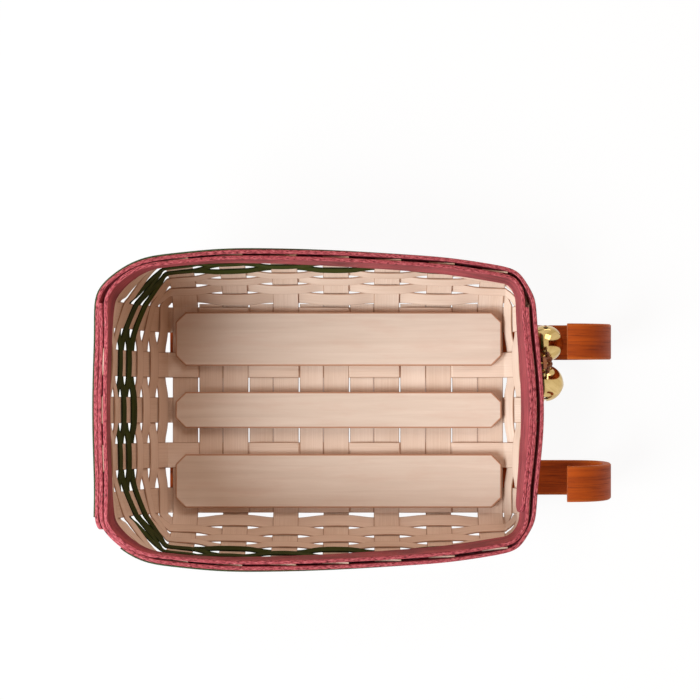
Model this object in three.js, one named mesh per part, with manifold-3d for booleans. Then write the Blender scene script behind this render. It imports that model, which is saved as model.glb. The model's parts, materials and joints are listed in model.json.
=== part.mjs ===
// Sleigh basket: a splint-woven wooden basket with a high back and a low flared front,
// a two-band rim, three floor boards, a pair of bentwood runners and two jingle bells.
// Millimetres, +Z up, +X towards the front of the sleigh, origin under the middle of the object.
import * as THREE from "three";
import { mergeVertices } from "three/addons/utils/BufferGeometryUtils.js";
import Module from "manifold-3d";

const wasm = await Module();
wasm.setup();

// Clearance between pieces that touch on the real basket
const CLEARANCE = 0.3;

// Woven floor
const FLOOR_LENGTH = 251;
const FLOOR_WIDTH = 160;
const STAKE_WIDTH = 19;
const STAKE_THICKNESS = 0.9;
const LONG_STAKE_COUNT = 5;
const CROSS_STAKE_COUNT = 7;
const CORNER_GAP = 2;
const FILLER_GAP = 0.4;
const FILLER_INSET = 1;
const CROSSING_GAP = 3.1;
const BEND_RADIUS = 1.6;
const BEND_LEAD = 0.5;

// Walls: how far each leans out in the end, the height over which it turns upright,
// and how far its middle bows out at the rim
const FRONT_FLARE = 20.3;
const FRONT_RISE = 30;
const FRONT_BOW = 6;
const SIDE_FLARE = 29.5;
const SIDE_RISE = 32;
const SIDE_BOW = 3;
const BACK_FLARE = 38.5;
const BACK_RISE = 50;
const BACK_BOW = 2;

// Corners: how far the long walls draw in towards them, over which length and width that grows
const CORNER_DRAW = 8;
const DRAW_LENGTH = 90;
const DRAW_WIDTH = 30;
const DRAW_PAST_X = 36.5;
const DRAW_PAST_Y = 22;
const DRAW_PROBE = 0.5;

// Weavers
const ROW_COUNT = 12;
const FULL_ROWS = 4;
const GREEN_ROWS = [5, 6, 7, 8];
const FIRST_ROW_HEIGHT = 2;
const LAST_ROW_INSET = 5.2;
const ROW_GAP = 0.6;
const WEAVER_THICKNESS = 0.8;
const WEAVER_LEAD = 1;

// Rim: two bands with the wall between them, and a thin trim strip outside
const BACK_RIM_HEIGHT = 120;
const FRONT_RIM_HEIGHT = 50;
const RIM_SWEEP = 0.85;
const CORNER_SWEEP = 22;
const BAND_WIDTH = 19;
const BAND_THICKNESS = 2.2;
const TRIM_WIDTH = 10;
const TRIM_THICKNESS = 0.8;
const BAND_SLACK = 0.8;
const TRIM_SLACK = 0.5;
const STAKE_TOP_INSET = 1;

// Floor boards
const BOARD_END_GAP = 3.75;
const BOARD_SHIFT = 1.8;
const SIDE_BOARD_WIDTH = 40;
const MIDDLE_BOARD_WIDTH = 27;
const BOARD_THICKNESS = 6;
const BOARD_CORNER_CUT = 7.5;
const BOARD_BEVEL = 0.6;
const SIDE_BOARD_INSET = 27;

// Runners
const RUNNER_WIDTH = 26;
const RUNNER_THICKNESS = 6;
const RUNNER_BACK_INSET = 0.8;
const CURL_RADIUS = 35;
const CURL_REACH = 42.2;
const CURL_STEPS = 14;

// Screws that hold the boards down to the runners through the woven floor
const SCREW_RADIUS = 1.6;
const SCREW_HEAD_RADIUS = 3.1;
const SCREW_HEAD_HEIGHT = 2;
const SCREW_BITE = 4;
const SCREW_RECESS = 0.4;
const SCREW_FILLERS = [1, 3, 6];

// Jingle bells and the leather that they hang on
const BELL_RADIUS = 13.6;
const BELL_WALL = 0.9;
const BELL_SEAM = 0.1;
const BELL_SLOT = 1.6;
const BELL_HOLE_RADIUS = 2.2;
const BELL_HOLE_ANGLE = 70;
const BELL_TILT = 40;
const RING_RADIUS = 2.6;
const RING_WIRE_RADIUS = 0.7;
const PELLET_RADIUS = 3.2;
const BELL_SPACING = 29.5;
const BELL_RUNNER_GAP = 1;
const KNOT_RADIUS = 3.2;
const KNOT_LENGTH = 8.4;
const KNOT_END_RADIUS = 2;
const KNOT_FLAT = 3.4;
const THONG_RADIUS = 1.1;
const TAB_WIDTH = 9;
const TAB_LENGTH = 14.6;
const TAB_THICKNESS = 2;
const TACK_HEAD_RADIUS = 1.8;
const TACK_HEAD_HEIGHT = 1;
const TACK_CROWN_RADIUS = 1.2;
const TACK_CROWN_HEIGHT = 0.3;
const TACK_BITE = 1.8;
const TACK_SHANK_RADIUS = 0.7;
const TACK_INSET = 2.2;

// Facet counts
const BELL_SIDES = 14;
const BELL_RINGS = 5;
const ROUND_SIDES = 10;
const BEND_STEPS = 3;
const CORNER_STEPS = 8;
const WEAVER_CORNER_STEPS = 6;
const LONG_RIM_STEPS = 10;
const SHORT_RIM_STEPS = 4;
const ROUND_END_DEGREES = [30, 60, 80];
const RING_STEPS = 12;
const RING_TUBE_SIDES = 6;
const THONG_SEGMENTS = 4;
const THONG_STEPS = 10;

// Levels and places worked out from the sizes above
const HALF_LENGTH = FLOOR_LENGTH / 2;
const HALF_WIDTH = FLOOR_WIDTH / 2;
const ROW_PITCH = (BACK_RIM_HEIGHT - FIRST_ROW_HEIGHT - LAST_ROW_INSET) / ROW_COUNT;
const FLOOR_LIFT = STAKE_THICKNESS + CLEARANCE;
const FLOOR_REACH = FLOOR_LIFT + STAKE_THICKNESS / 2 + CLEARANCE;
const FLOOR_Z = RUNNER_THICKNESS + FLOOR_REACH;
const WEAVER_LIFT = (STAKE_THICKNESS + WEAVER_THICKNESS) / 2 + CLEARANCE;
const BAND_LIFT = WEAVER_LIFT + (WEAVER_THICKNESS + BAND_THICKNESS) / 2 + BAND_SLACK;
const BAND_STEP = BAND_THICKNESS + CLEARANCE;
const TRIM_LIFT = BAND_LIFT + (BAND_THICKNESS + TRIM_THICKNESS) / 2 + TRIM_SLACK;
const TAB_LIFT = TRIM_LIFT + (TRIM_THICKNESS + TAB_THICKNESS) / 2 + CLEARANCE;
const CORNER_X = HALF_LENGTH - CORNER_GAP;
const CORNER_Y = HALF_WIDTH - CORNER_GAP;
const CROSS_PITCH = (2 * (CORNER_X - WEAVER_LEAD) - STAKE_WIDTH) / (CROSS_STAKE_COUNT - 1);
const LONG_PITCH = (2 * (CORNER_Y - WEAVER_LEAD) - STAKE_WIDTH) / (LONG_STAKE_COUNT - 1);
const FILLER_WIDTH = CROSS_PITCH - STAKE_WIDTH - FILLER_GAP - CROSSING_GAP;
const BOARD_LENGTH = FLOOR_LENGTH - 2 * BOARD_END_GAP;
const SIDE_BOARD_OFFSET = HALF_WIDTH - SIDE_BOARD_INSET;
const RUNNER_OFFSET = 1.5 * LONG_PITCH;

// Materials
const finish = (color, roughness, metalness = 0) =>
  new THREE.MeshStandardMaterial({ color, roughness, metalness });
const maple = finish(0xe3c9ae, 0.65);
const boardWood = finish(0xe0c3a6, 0.6);
const greenSplint = finish(0x2c3413, 0.6);
const rimWood = finish(0xa34453, 0.55);
const trimWood = finish(0x4c6233, 0.6);
const runnerWood = finish(0x8a3f14, 0.45);
const screwSteel = finish(0x9a9a98, 0.35, 1);
const bellBrass = finish(0xc79a3c, 0.2, 1);
const tackBrass = finish(0xa67c36, 0.3, 1);
const leather = finish(0x6b3418, 0.75);

const basket = new THREE.Group();

function addMesh(name, geometry, material, parent = basket) {
  const mesh = new THREE.Mesh(geometry, material);
  mesh.name = name;
  parent.add(mesh);
  return mesh;
}

// Boolean cut
function toSolid(geometry) {
  const bare = geometry.clone();
  bare.deleteAttribute("normal");
  bare.deleteAttribute("uv");
  const merged = mergeVertices(bare, 1e-4);
  return new wasm.Manifold(
    new wasm.Mesh({
      numProp: 3,
      vertProperties: new Float32Array(merged.attributes.position.array),
      triVerts: new Uint32Array(merged.index.array),
    }),
  );
}

function fromSolid(solid) {
  const mesh = solid.getMesh();
  const geometry = new THREE.BufferGeometry();
  geometry.setAttribute("position", new THREE.BufferAttribute(mesh.vertProperties, mesh.numProp));
  geometry.setIndex(new THREE.BufferAttribute(mesh.triVerts, 1));
  return geometry;
}

function cut(geometry, cutters) {
  return fromSolid(cutters.reduce((solid, cutter) => solid.subtract(toSolid(cutter)), toSolid(geometry)));
}

// Loft through sections that have the same number of corners, closed on itself or capped at its ends
function loft(sections, closed) {
  const sides = sections[0].length;
  const positions = sections.flat().flatMap((corner) => corner.toArray());
  const index = [];
  const spans = closed ? sections.length : sections.length - 1;
  for (let i = 0; i < spans; i++) {
    const here = i * sides;
    const next = ((i + 1) % sections.length) * sides;
    for (let k = 0; k < sides; k++) {
      const m = (k + 1) % sides;
      index.push(here + k, here + m, next + m, here + k, next + m, next + k);
    }
  }
  if (!closed) {
    const last = (sections.length - 1) * sides;
    for (let k = 1; k < sides - 1; k++) {
      index.push(0, k + 1, k, last, last + k, last + k + 1);
    }
  }
  const geometry = new THREE.BufferGeometry();
  geometry.setAttribute("position", new THREE.Float32BufferAttribute(positions, 3));
  geometry.setIndex(enclosedVolume(positions, index) < 0 ? index.reverse() : index);
  return geometry;
}

// Volume inside a closed mesh, negative where its faces point inwards
function enclosedVolume(positions, index) {
  const corner = (i) => new THREE.Vector3().fromArray(positions, 3 * index[i]);
  let volume = 0;
  for (let i = 0; i < index.length; i += 3) {
    volume += corner(i).dot(corner(i + 1).cross(corner(i + 2))) / 6;
  }
  return volume;
}

// Flat splint through stations {p, across, out}: across spans the width and out the thickness
function splint(stations, width, thickness, closed = false) {
  const sections = stations.map(({ p, across, out, taper = 1 }) =>
    [
      [-1, -1],
      [1, -1],
      [1, 1],
      [-1, 1],
    ].map(([a, b]) =>
      p
        .clone()
        .addScaledVector(across, (a * width * taper) / 2)
        .addScaledVector(out, (b * thickness) / 2),
    ),
  );
  return loft(sections, closed);
}

// Outline in a plane with each inner corner rounded by a small arc
function rounded(points, radius) {
  const result = [points[0]];
  for (let i = 1; i < points.length - 1; i++) {
    const corner = points[i];
    const before = points[i - 1].clone().sub(corner).normalize();
    const after = points[i + 1].clone().sub(corner).normalize();
    const half = Math.acos(THREE.MathUtils.clamp(before.dot(after), -1, 1)) / 2;
    const setback = radius / Math.tan(half);
    const centre = before.clone().add(after).normalize().multiplyScalar(radius / Math.sin(half)).add(corner);
    const from = before.multiplyScalar(setback).add(corner).sub(centre);
    const to = after.multiplyScalar(setback).add(corner).sub(centre);
    const turn = Math.atan2(from.cross(to), from.dot(to));
    for (let k = 0; k <= BEND_STEPS; k++) {
      result.push(from.clone().rotateAround(new THREE.Vector2(), (turn * k) / BEND_STEPS).add(centre));
    }
  }
  result.push(points.at(-1));
  return result;
}

// Stations of a splint that follows an outline in a vertical plane, mitred so that its thickness is kept
function planeStations(outline, place, across) {
  return outline.map((point, i) => {
    const before = point.clone().sub(outline[Math.max(i - 1, 0)]);
    const after = outline[Math.min(i + 1, outline.length - 1)].clone().sub(point);
    const first = (before.lengthSq() ? before : after).clone().normalize();
    const second = (after.lengthSq() ? after : before).clone().normalize();
    const middle = first.clone().add(second).normalize();
    const normal = new THREE.Vector2(-middle.y, middle.x).divideScalar(middle.dot(first));
    return { p: place(point), across, out: place(normal).sub(place(new THREE.Vector2())) };
  });
}

// Walls: how far the wall has moved out at a height above the floor, and its slope there
const profiles = {
  front: { reach: FRONT_FLARE, rise: FRONT_RISE, bow: FRONT_BOW / FRONT_RIM_HEIGHT },
  side: { reach: SIDE_FLARE, rise: SIDE_RISE, bow: SIDE_BOW / BACK_RIM_HEIGHT },
  back: { reach: BACK_FLARE, rise: BACK_RISE, bow: BACK_BOW / BACK_RIM_HEIGHT },
};
const flare = ({ reach, rise }, h) => reach * (1 - Math.exp(-h / rise));
const flareSlope = ({ reach, rise }, h) => (reach / rise) * Math.exp(-h / rise);

// A station on the wall's plan: its foot on the floor's edge, and how it shares in the two flares
const wallStation = (x, y, ex, ey) => ({ x, y, ex, ey, end: ex > 0 ? profiles.front : profiles.back });

// Bow of a straight wall, whole in its middle and gone at its corners, and how it changes along the wall
function wallBow({ x, y, ex, ey, end }) {
  const profile = ey ? profiles.side : end;
  const place = ey ? x / CORNER_X : y / CORNER_Y;
  const left = Math.max(1 - place * place, 0);
  const isStraight = ex === 0 || ey === 0;
  const rate = isStraight ? profile.bow * left * left : 0;
  const turn = isStraight ? (-4 * profile.bow * left * place) / (ey ? CORNER_X : CORNER_Y) : 0;
  return { rate, turn };
}

// The long walls draw in towards the corners, the more the higher up
function drawIn(p) {
  const { smoothstep } = THREE.MathUtils;
  const lengthwise = smoothstep(Math.abs(p.x), CORNER_X + DRAW_PAST_X - DRAW_LENGTH, CORNER_X + DRAW_PAST_X);
  const crosswise = smoothstep(Math.abs(p.y), CORNER_Y + DRAW_PAST_Y - DRAW_WIDTH, CORNER_Y + DRAW_PAST_Y);
  const height = 1 - Math.exp((FLOOR_Z - p.z) / SIDE_RISE);
  p.y -= Math.sign(p.y) * CORNER_DRAW * lengthwise * crosswise * height;
  return p;
}

// A way on the wall after the corners are drawn in
function drawnWay(p, way) {
  const ahead = drawIn(p.clone().addScaledVector(way, DRAW_PROBE));
  const behind = drawIn(p.clone().addScaledVector(way, -DRAW_PROBE));
  return ahead.sub(behind).normalize();
}

// Place on the wall at a height: the point, the way along the wall, the way up it and the way out
function wallFrame(station, h) {
  const { x, y, ex, ey, end } = station;
  const { rate, turn } = wallBow(station);
  const endFlare = flare(end, h) + rate * h;
  const sideFlare = flare(profiles.side, h) + rate * h;
  const p = new THREE.Vector3(x + ex * endFlare, y + ey * sideFlare, FLOOR_Z + h);
  const endUp = ex * (flareSlope(end, h) + rate);
  const sideUp = ey * (flareSlope(profiles.side, h) + rate);
  const plainUp = new THREE.Vector3(endUp, sideUp, 1).normalize();
  const plainAlong = new THREE.Vector3(-ey * (CORNER_GAP + endFlare), ex * (CORNER_GAP + sideFlare), 0);
  plainAlong.normalize();
  plainAlong.x += ex * turn * h * plainAlong.y;
  plainAlong.y += ey * turn * h * plainAlong.x;
  const along = drawnWay(p, plainAlong.normalize());
  const up = drawnWay(p, plainUp);
  const out = new THREE.Vector3().crossVectors(along, up).normalize();
  return { p: drawIn(p), along, up, out };
}

// The straight face of a row between its two edges on the curved wall
function rowFrame(station, h) {
  const low = wallFrame(station, h - ROW_PITCH / 2).p;
  const high = wallFrame(station, h + ROW_PITCH / 2).p;
  const { along } = wallFrame(station, h);
  const up = high.clone().sub(low);
  const width = up.length() - ROW_GAP;
  const out = new THREE.Vector3().crossVectors(along, up.normalize()).normalize();
  return { p: low.lerp(high, 0.5), along, up, out, taper: width / ROW_PITCH };
}

// Height of the rim's top edge above the floor: high at the back, swept down to the front.
// The sweep runs on round the corners, where a station's ex grows to 1.
function rimTop(x, ex = 0) {
  const half = HALF_LENGTH + CORNER_SWEEP;
  const share = THREE.MathUtils.clamp((x + ex * CORNER_SWEEP + half) / (2 * half), 0, 1);
  return BACK_RIM_HEIGHT - (BACK_RIM_HEIGHT - FRONT_RIM_HEIGHT) * share ** RIM_SWEEP;
}

// Feet of the stakes, anticlockwise from the front wall
const spread = (count, pitch) => Array.from({ length: count }, (_, k) => (k - (count - 1) / 2) * pitch);
const longStakeY = spread(LONG_STAKE_COUNT, LONG_PITCH);
const crossStakeX = spread(CROSS_STAKE_COUNT, CROSS_PITCH);
const stakeFeet = [
  ...longStakeY.map((y) => wallStation(HALF_LENGTH, y, 1, 0)),
  ...crossStakeX.toReversed().map((x) => wallStation(x, HALF_WIDTH, 0, 1)),
  ...longStakeY.toReversed().map((y) => wallStation(-HALF_LENGTH, y, -1, 0)),
  ...crossStakeX.map((x) => wallStation(x, -HALF_WIDTH, 0, -1)),
];

// Station on a corner of the wall, at an angle in the plan
function cornerStation(angle) {
  const ex = Math.cos(angle);
  const ey = Math.sin(angle);
  const x = Math.sign(ex) * CORNER_X + CORNER_GAP * ex;
  const y = Math.sign(ey) * CORNER_Y + CORNER_GAP * ey;
  return wallStation(x, y, ex, ey);
}

// Stakes: each crosses the floor and turns up into two opposite walls, with a station at each row's edge
function stakeWall(foot, top) {
  const rows = Math.floor((top - FIRST_ROW_HEIGHT) / ROW_PITCH);
  const heights = Array.from({ length: rows }, (_, k) => FIRST_ROW_HEIGHT + k * ROW_PITCH);
  return [...heights, top].map((h) => {
    const { p, along, out } = wallFrame(foot, h);
    return { p, across: along, out };
  });
}

// Outline of the floor with a bend at each end that leads up to where the walls begin
function stakeFloor(floor, low, high) {
  const bend = (a, corner, b) => rounded([a, corner, b], BEND_RADIUS).slice(1, -1);
  const foot = (end, edge, level) => {
    const slope = (end.x - edge) / end.y;
    return new THREE.Vector2(edge + slope * level, level);
  };
  const first = foot(low.end, low.edge, floor[0].y);
  const last = foot(high.end, high.edge, floor.at(-1).y);
  const lowBend = bend(low.end, first, floor[0]);
  const highBend = bend(floor.at(-1), last, high.end);
  return [low.end, ...lowBend, ...floor, ...highBend, high.end];
}

function makeStake(name, floor, ends, place, across) {
  const [low, high] = ends.map(({ foot, top, edge, flat }) => {
    const wall = stakeWall(foot, top);
    return { wall, edge, end: flat(wall[0].p) };
  });
  const outline = stakeFloor(floor, low, high);
  const floorStations = planeStations(outline, place, across).slice(1, -1);
  const facing = (wall) =>
    wall.map(({ p, across: side, out }) => {
      const sign = Math.sign(side.dot(across));
      return { p, across: side.clone().multiplyScalar(sign), out: out.clone().negate() };
    });
  const stations = [...facing(low.wall).reverse(), ...floorStations, ...facing(high.wall)];
  addMesh(name, splint(stations, STAKE_WIDTH, STAKE_THICKNESS), maple);
}

function makeCrossStake(x, number) {
  const top = rimTop(x + STAKE_WIDTH / 2) - STAKE_TOP_INSET;
  const flat = (p) => new THREE.Vector2(p.y, p.z - FLOOR_Z);
  const ends = [-1, 1].map((side) => ({
    foot: wallStation(x, side * HALF_WIDTH, 0, side),
    edge: side * HALF_WIDTH,
    top,
    flat,
  }));
  const floor = [new THREE.Vector2(-CORNER_Y, 0), new THREE.Vector2(CORNER_Y, 0)];
  const place = (point) => new THREE.Vector3(x, point.x, FLOOR_Z + point.y);
  makeStake(`cross_stake_${number}`, floor, ends, place, new THREE.Vector3(-1, 0, 0));
}

// A long stake goes over one cross stake with the filler behind it and under the next
function makeLongStake(y, number) {
  const side = (pair) => ((pair + number) % 2 ? -FLOOR_LIFT : FLOOR_LIFT);
  const floor = crossStakeX.flatMap((x, pair) => {
    const pairStart = x - STAKE_WIDTH / 2 - (pair ? FILLER_GAP + FILLER_WIDTH : 0);
    return [
      new THREE.Vector2(pairStart - BEND_LEAD, side(pair)),
      new THREE.Vector2(x + STAKE_WIDTH / 2 + BEND_LEAD, side(pair)),
    ];
  });
  const flat = (p) => new THREE.Vector2(p.x, p.z - FLOOR_Z);
  const ends = [
    [-1, BACK_RIM_HEIGHT],
    [1, FRONT_RIM_HEIGHT],
  ].map(([end, rim]) => ({
    foot: wallStation(end * HALF_LENGTH, y, end, 0),
    edge: end * HALF_LENGTH,
    top: rim - STAKE_TOP_INSET,
    flat,
  }));
  const place = (point) => new THREE.Vector3(point.x, y, FLOOR_Z + point.y);
  makeStake(`long_stake_${number}`, floor, ends, place, new THREE.Vector3(0, 1, 0));
}

// A filler lies close behind a cross stake. Some are bored for the screws.
const fillerX = (number) => crossStakeX[number] - (STAKE_WIDTH + FILLER_WIDTH) / 2 - FILLER_GAP;

function makeFiller(number) {
  const length = FLOOR_WIDTH - 2 * FILLER_INSET;
  const x = fillerX(number);
  const geometry = new THREE.BoxGeometry(FILLER_WIDTH, length, STAKE_THICKNESS);
  geometry.translate(x, 0, FLOOR_Z);
  const cutters = SCREW_FILLERS.includes(number)
    ? [-1, 1].map((side) => post(x, side * RUNNER_OFFSET, SCREW_RADIUS + CLEARANCE, 0, 2 * FLOOR_Z))
    : [];
  addMesh(`floor_filler_${number}`, cutters.length ? cut(geometry, cutters) : geometry, maple);
}

// The lowest rows run all round. Each row above them ends a cross stake further back, behind the swept rim.
function rowReaches(row, { x, ex }) {
  if (row <= FULL_ROWS || ex < 0) return true;
  return ex === 0 && crossStakeX.indexOf(x) < ROW_COUNT - row;
}

// Weavers: each row passes outside one stake and inside the next.
// It goes straight across a corner, or round it between the rim's bands.
function weaverPath(row) {
  const h = FIRST_ROW_HEIGHT + (row - 0.5) * ROW_PITCH;
  const reach = STAKE_WIDTH / 2 + WEAVER_LEAD;
  const count = stakeFeet.length;
  const stations = [];
  let closed = true;
  stakeFeet.forEach((foot, i) => {
    if (!rowReaches(row, foot)) {
      closed = false;
      return;
    }
    const frame = rowFrame(foot, h);
    const lift = (i + row) % 2 ? -WEAVER_LIFT : WEAVER_LIFT;
    for (const shift of [-reach, reach]) {
      const p = frame.p.clone().addScaledVector(frame.along, shift).addScaledVector(frame.out, lift);
      stations.push({ p, across: frame.up, out: frame.out, taper: frame.taper });
    }
    const next = stakeFeet[(i + 1) % count];
    if (next.ex === foot.ex || !rowReaches(row, next)) return;
    const bandFoot = Math.min(rimTop(foot.x, foot.ex), rimTop(next.x, next.ex)) - BAND_WIDTH;
    if (h + ROW_PITCH / 2 + CLEARANCE < bandFoot) return;
    const from = Math.atan2(foot.ey, foot.ex);
    for (let k = 1; k < WEAVER_CORNER_STEPS; k++) {
      const share = k / WEAVER_CORNER_STEPS;
      const corner = rowFrame(cornerStation(from + (share * Math.PI) / 2), h);
      const p = corner.p.clone().addScaledVector(corner.out, lift * (1 - 2 * share));
      stations.push({ p, across: corner.up, out: corner.out, taper: corner.taper });
    }
  });
  return { stations, closed };
}

function makeWeaver(row) {
  const { stations, closed } = weaverPath(row);
  const isGreen = GREEN_ROWS.includes(row);
  const geometry = splint(stations, ROW_PITCH, WEAVER_THICKNESS, closed);
  addMesh(`weaver_${row}${isGreen ? "_green" : ""}`, geometry, isGreen ? greenSplint : maple);
}

// Rim: plan of the bands, anticlockwise from the front wall.
// The nudge keeps the first station of each corner in its own quarter.
const CORNER_NUDGE = 0.001;

function rimPlan() {
  const plan = [];
  const straight = (x, y, steps, ex, ey) => {
    for (let k = 0; k < steps; k++) {
      const share = 1 - (2 * k) / steps;
      plan.push(wallStation(ex ? x : x * share, ey ? y : y * share, ex, ey));
    }
  };
  const corner = (start) => {
    for (let k = 0; k < CORNER_STEPS; k++) {
      plan.push(cornerStation(start + ((k + CORNER_NUDGE) / CORNER_STEPS) * (Math.PI / 2)));
    }
  };
  straight(HALF_LENGTH, -CORNER_Y, SHORT_RIM_STEPS, 1, 0);
  corner(0);
  straight(CORNER_X, HALF_WIDTH, LONG_RIM_STEPS, 0, 1);
  corner(Math.PI / 2);
  straight(-HALF_LENGTH, CORNER_Y, SHORT_RIM_STEPS, -1, 0);
  corner(Math.PI);
  straight(-CORNER_X, -HALF_WIDTH, LONG_RIM_STEPS, 0, -1);
  corner(-Math.PI / 2);
  return plan;
}

// A band runs once round and laps over its own start, stepping aside in the corner before the lap
function bandStations(plan, side) {
  const count = plan.length;
  const lapSteps = SHORT_RIM_STEPS + 1;
  const frames = [];
  for (let i = 0; i < count + lapSteps; i++) {
    const foot = plan[i % count];
    const frame = wallFrame(foot, rimTop(foot.x, foot.ex) - BAND_WIDTH / 2);
    const lap = THREE.MathUtils.smoothstep(i, count - CORNER_STEPS, count - 1);
    frame.p.addScaledVector(frame.out, side * (BAND_LIFT + lap * BAND_STEP));
    frames.push(frame);
  }
  return frames.map(({ p, out }, i) => {
    const before = frames[Math.max(i - 1, 0)].p;
    const after = frames[Math.min(i + 1, frames.length - 1)].p;
    const along = after.clone().sub(before).normalize();
    const across = new THREE.Vector3().crossVectors(out, along).normalize();
    return { p, across, out, along };
  });
}

// Round end of a band
function withRoundEnd(stations, width) {
  const last = stations.at(-1);
  const radius = width / 2;
  const end = ROUND_END_DEGREES.map((degrees) => {
    const angle = THREE.MathUtils.degToRad(degrees);
    const p = last.p.clone().addScaledVector(last.along, radius * Math.sin(angle));
    return { ...last, p, taper: Math.cos(angle) };
  });
  return [...stations, ...end];
}

// The trim strip lies along the middle of the outer band's face.
// It starts where the lap's end leaves the band bare.
function trimStations(bandPath) {
  return bandPath.slice(SHORT_RIM_STEPS + 2).map((station) => {
    const p = station.p.clone().addScaledVector(station.out, TRIM_LIFT - BAND_LIFT);
    return { ...station, p };
  });
}

const turned = (plan, start) => [...plan.slice(start), ...plan.slice(0, start)];

function makeRim() {
  const plan = rimPlan();
  const backStart = SHORT_RIM_STEPS + 2 * CORNER_STEPS + LONG_RIM_STEPS;
  const outerPlan = turned(plan, backStart);
  const innerPlan = turned(plan, SHORT_RIM_STEPS + 1).reverse();
  const outer = bandStations(outerPlan, 1);
  const inner = bandStations(innerPlan, -1);
  return {
    outer: splint(withRoundEnd(outer, BAND_WIDTH), BAND_WIDTH, BAND_THICKNESS),
    inner: splint(withRoundEnd(inner, BAND_WIDTH), BAND_WIDTH, BAND_THICKNESS),
    trim: splint(trimStations(outer), TRIM_WIDTH, TRIM_THICKNESS),
  };
}

// Upright cylinder between two heights
function post(x, y, radius, low, high) {
  const geometry = new THREE.CylinderGeometry(radius, radius, high - low, ROUND_SIDES);
  geometry.rotateX(Math.PI / 2);
  geometry.translate(x, y, (low + high) / 2);
  return geometry;
}

// Screws go up through the middle of a filler
const boardBottom = FLOOR_Z + FLOOR_REACH;
const screwX = SCREW_FILLERS.map(fillerX);
const screwTop = boardBottom + SCREW_BITE;

function makeScrew(x, y, name) {
  const low = SCREW_RECESS;
  const shoulder = low + SCREW_HEAD_HEIGHT;
  const profile = [
    [0, low],
    [SCREW_HEAD_RADIUS, low],
    [SCREW_RADIUS, shoulder],
    [SCREW_RADIUS, screwTop - SCREW_RADIUS],
    [0, screwTop],
  ].map(([r, z]) => new THREE.Vector2(r, z));
  const geometry = new THREE.LatheGeometry(profile, ROUND_SIDES);
  geometry.rotateX(Math.PI / 2);
  geometry.translate(x, y, 0);
  addMesh(name, geometry, screwSteel);
}

// Floor board with cut corners and eased edges
function boardGeometry(width, y, holes) {
  const halfX = BOARD_LENGTH / 2 - BOARD_BEVEL;
  const halfY = width / 2 - BOARD_BEVEL;
  const outline = new THREE.Shape();
  outline.moveTo(-halfX + BOARD_CORNER_CUT, -halfY);
  outline.lineTo(halfX - BOARD_CORNER_CUT, -halfY);
  outline.lineTo(halfX, -halfY + BOARD_CORNER_CUT);
  outline.lineTo(halfX, halfY - BOARD_CORNER_CUT);
  outline.lineTo(halfX - BOARD_CORNER_CUT, halfY);
  outline.lineTo(-halfX + BOARD_CORNER_CUT, halfY);
  outline.lineTo(-halfX, halfY - BOARD_CORNER_CUT);
  outline.lineTo(-halfX, -halfY + BOARD_CORNER_CUT);
  const geometry = new THREE.ExtrudeGeometry(outline, {
    depth: BOARD_THICKNESS - 2 * BOARD_BEVEL,
    bevelSize: BOARD_BEVEL,
    bevelThickness: BOARD_BEVEL,
    bevelSegments: 1,
  });
  geometry.translate(BOARD_SHIFT, y, boardBottom + BOARD_BEVEL);
  const pilot = SCREW_RADIUS + CLEARANCE;
  const screwY = Math.sign(y) * RUNNER_OFFSET;
  const cutters = holes.map((x) => post(x, screwY, pilot, 0, screwTop + CLEARANCE));
  return cutters.length ? cut(geometry, cutters) : geometry;
}

// Runner: a bentwood strip, flat under the basket and curled up and back at the front
function runnerGeometry(y) {
  const half = RUNNER_THICKNESS / 2;
  const curlX = HALF_LENGTH + CURL_REACH;
  const radius = CURL_RADIUS - half;
  const outline = [new THREE.Vector2(-HALF_LENGTH + RUNNER_BACK_INSET, half)];
  for (let k = 0; k <= CURL_STEPS; k++) {
    const angle = (Math.PI * k) / CURL_STEPS;
    outline.push(new THREE.Vector2(curlX + radius * Math.sin(angle), CURL_RADIUS - radius * Math.cos(angle)));
  }
  const place = (point) => new THREE.Vector3(point.x, y, point.y);
  const stations = planeStations(outline, place, new THREE.Vector3(0, -1, 0));
  const strip = splint(stations, RUNNER_WIDTH, RUNNER_THICKNESS);
  const headHole = SCREW_RECESS + SCREW_HEAD_HEIGHT + CLEARANCE;
  const cutters = screwX.flatMap((x) => [
    post(x, y, SCREW_HEAD_RADIUS + CLEARANCE, -CLEARANCE, headHole),
    post(x, y, SCREW_RADIUS + CLEARANCE, 0, RUNNER_THICKNESS + CLEARANCE),
  ]);
  return cut(strip, cutters);
}

// Leather tab on the rim's front, with its tack and the knot that the bells hang from
const hangerY = longStakeY.at(-2);
const tabFoot = wallStation(HALF_LENGTH, hangerY, 1, 0);
const tabFrame = wallFrame(tabFoot, FRONT_RIM_HEIGHT - TAB_LENGTH / 2 - CLEARANCE);
const onTab = (up, out) =>
  tabFrame.p.clone().addScaledVector(tabFrame.up, up).addScaledVector(tabFrame.out, TAB_LIFT + out);
const bellZ = RUNNER_THICKNESS + BELL_RUNNER_GAP + BELL_RADIUS;
const ringReach = BELL_RADIUS + RING_RADIUS + RING_WIRE_RADIUS + CLEARANCE;
const bellTilt = THREE.MathUtils.degToRad(BELL_TILT);
const knotOut = TAB_THICKNESS / 2 + CLEARANCE + KNOT_RADIUS;
const knotCentre = onTab(0, knotOut);
const outwards = new THREE.Quaternion().setFromUnitVectors(new THREE.Vector3(0, 1, 0), tabFrame.out);

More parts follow.
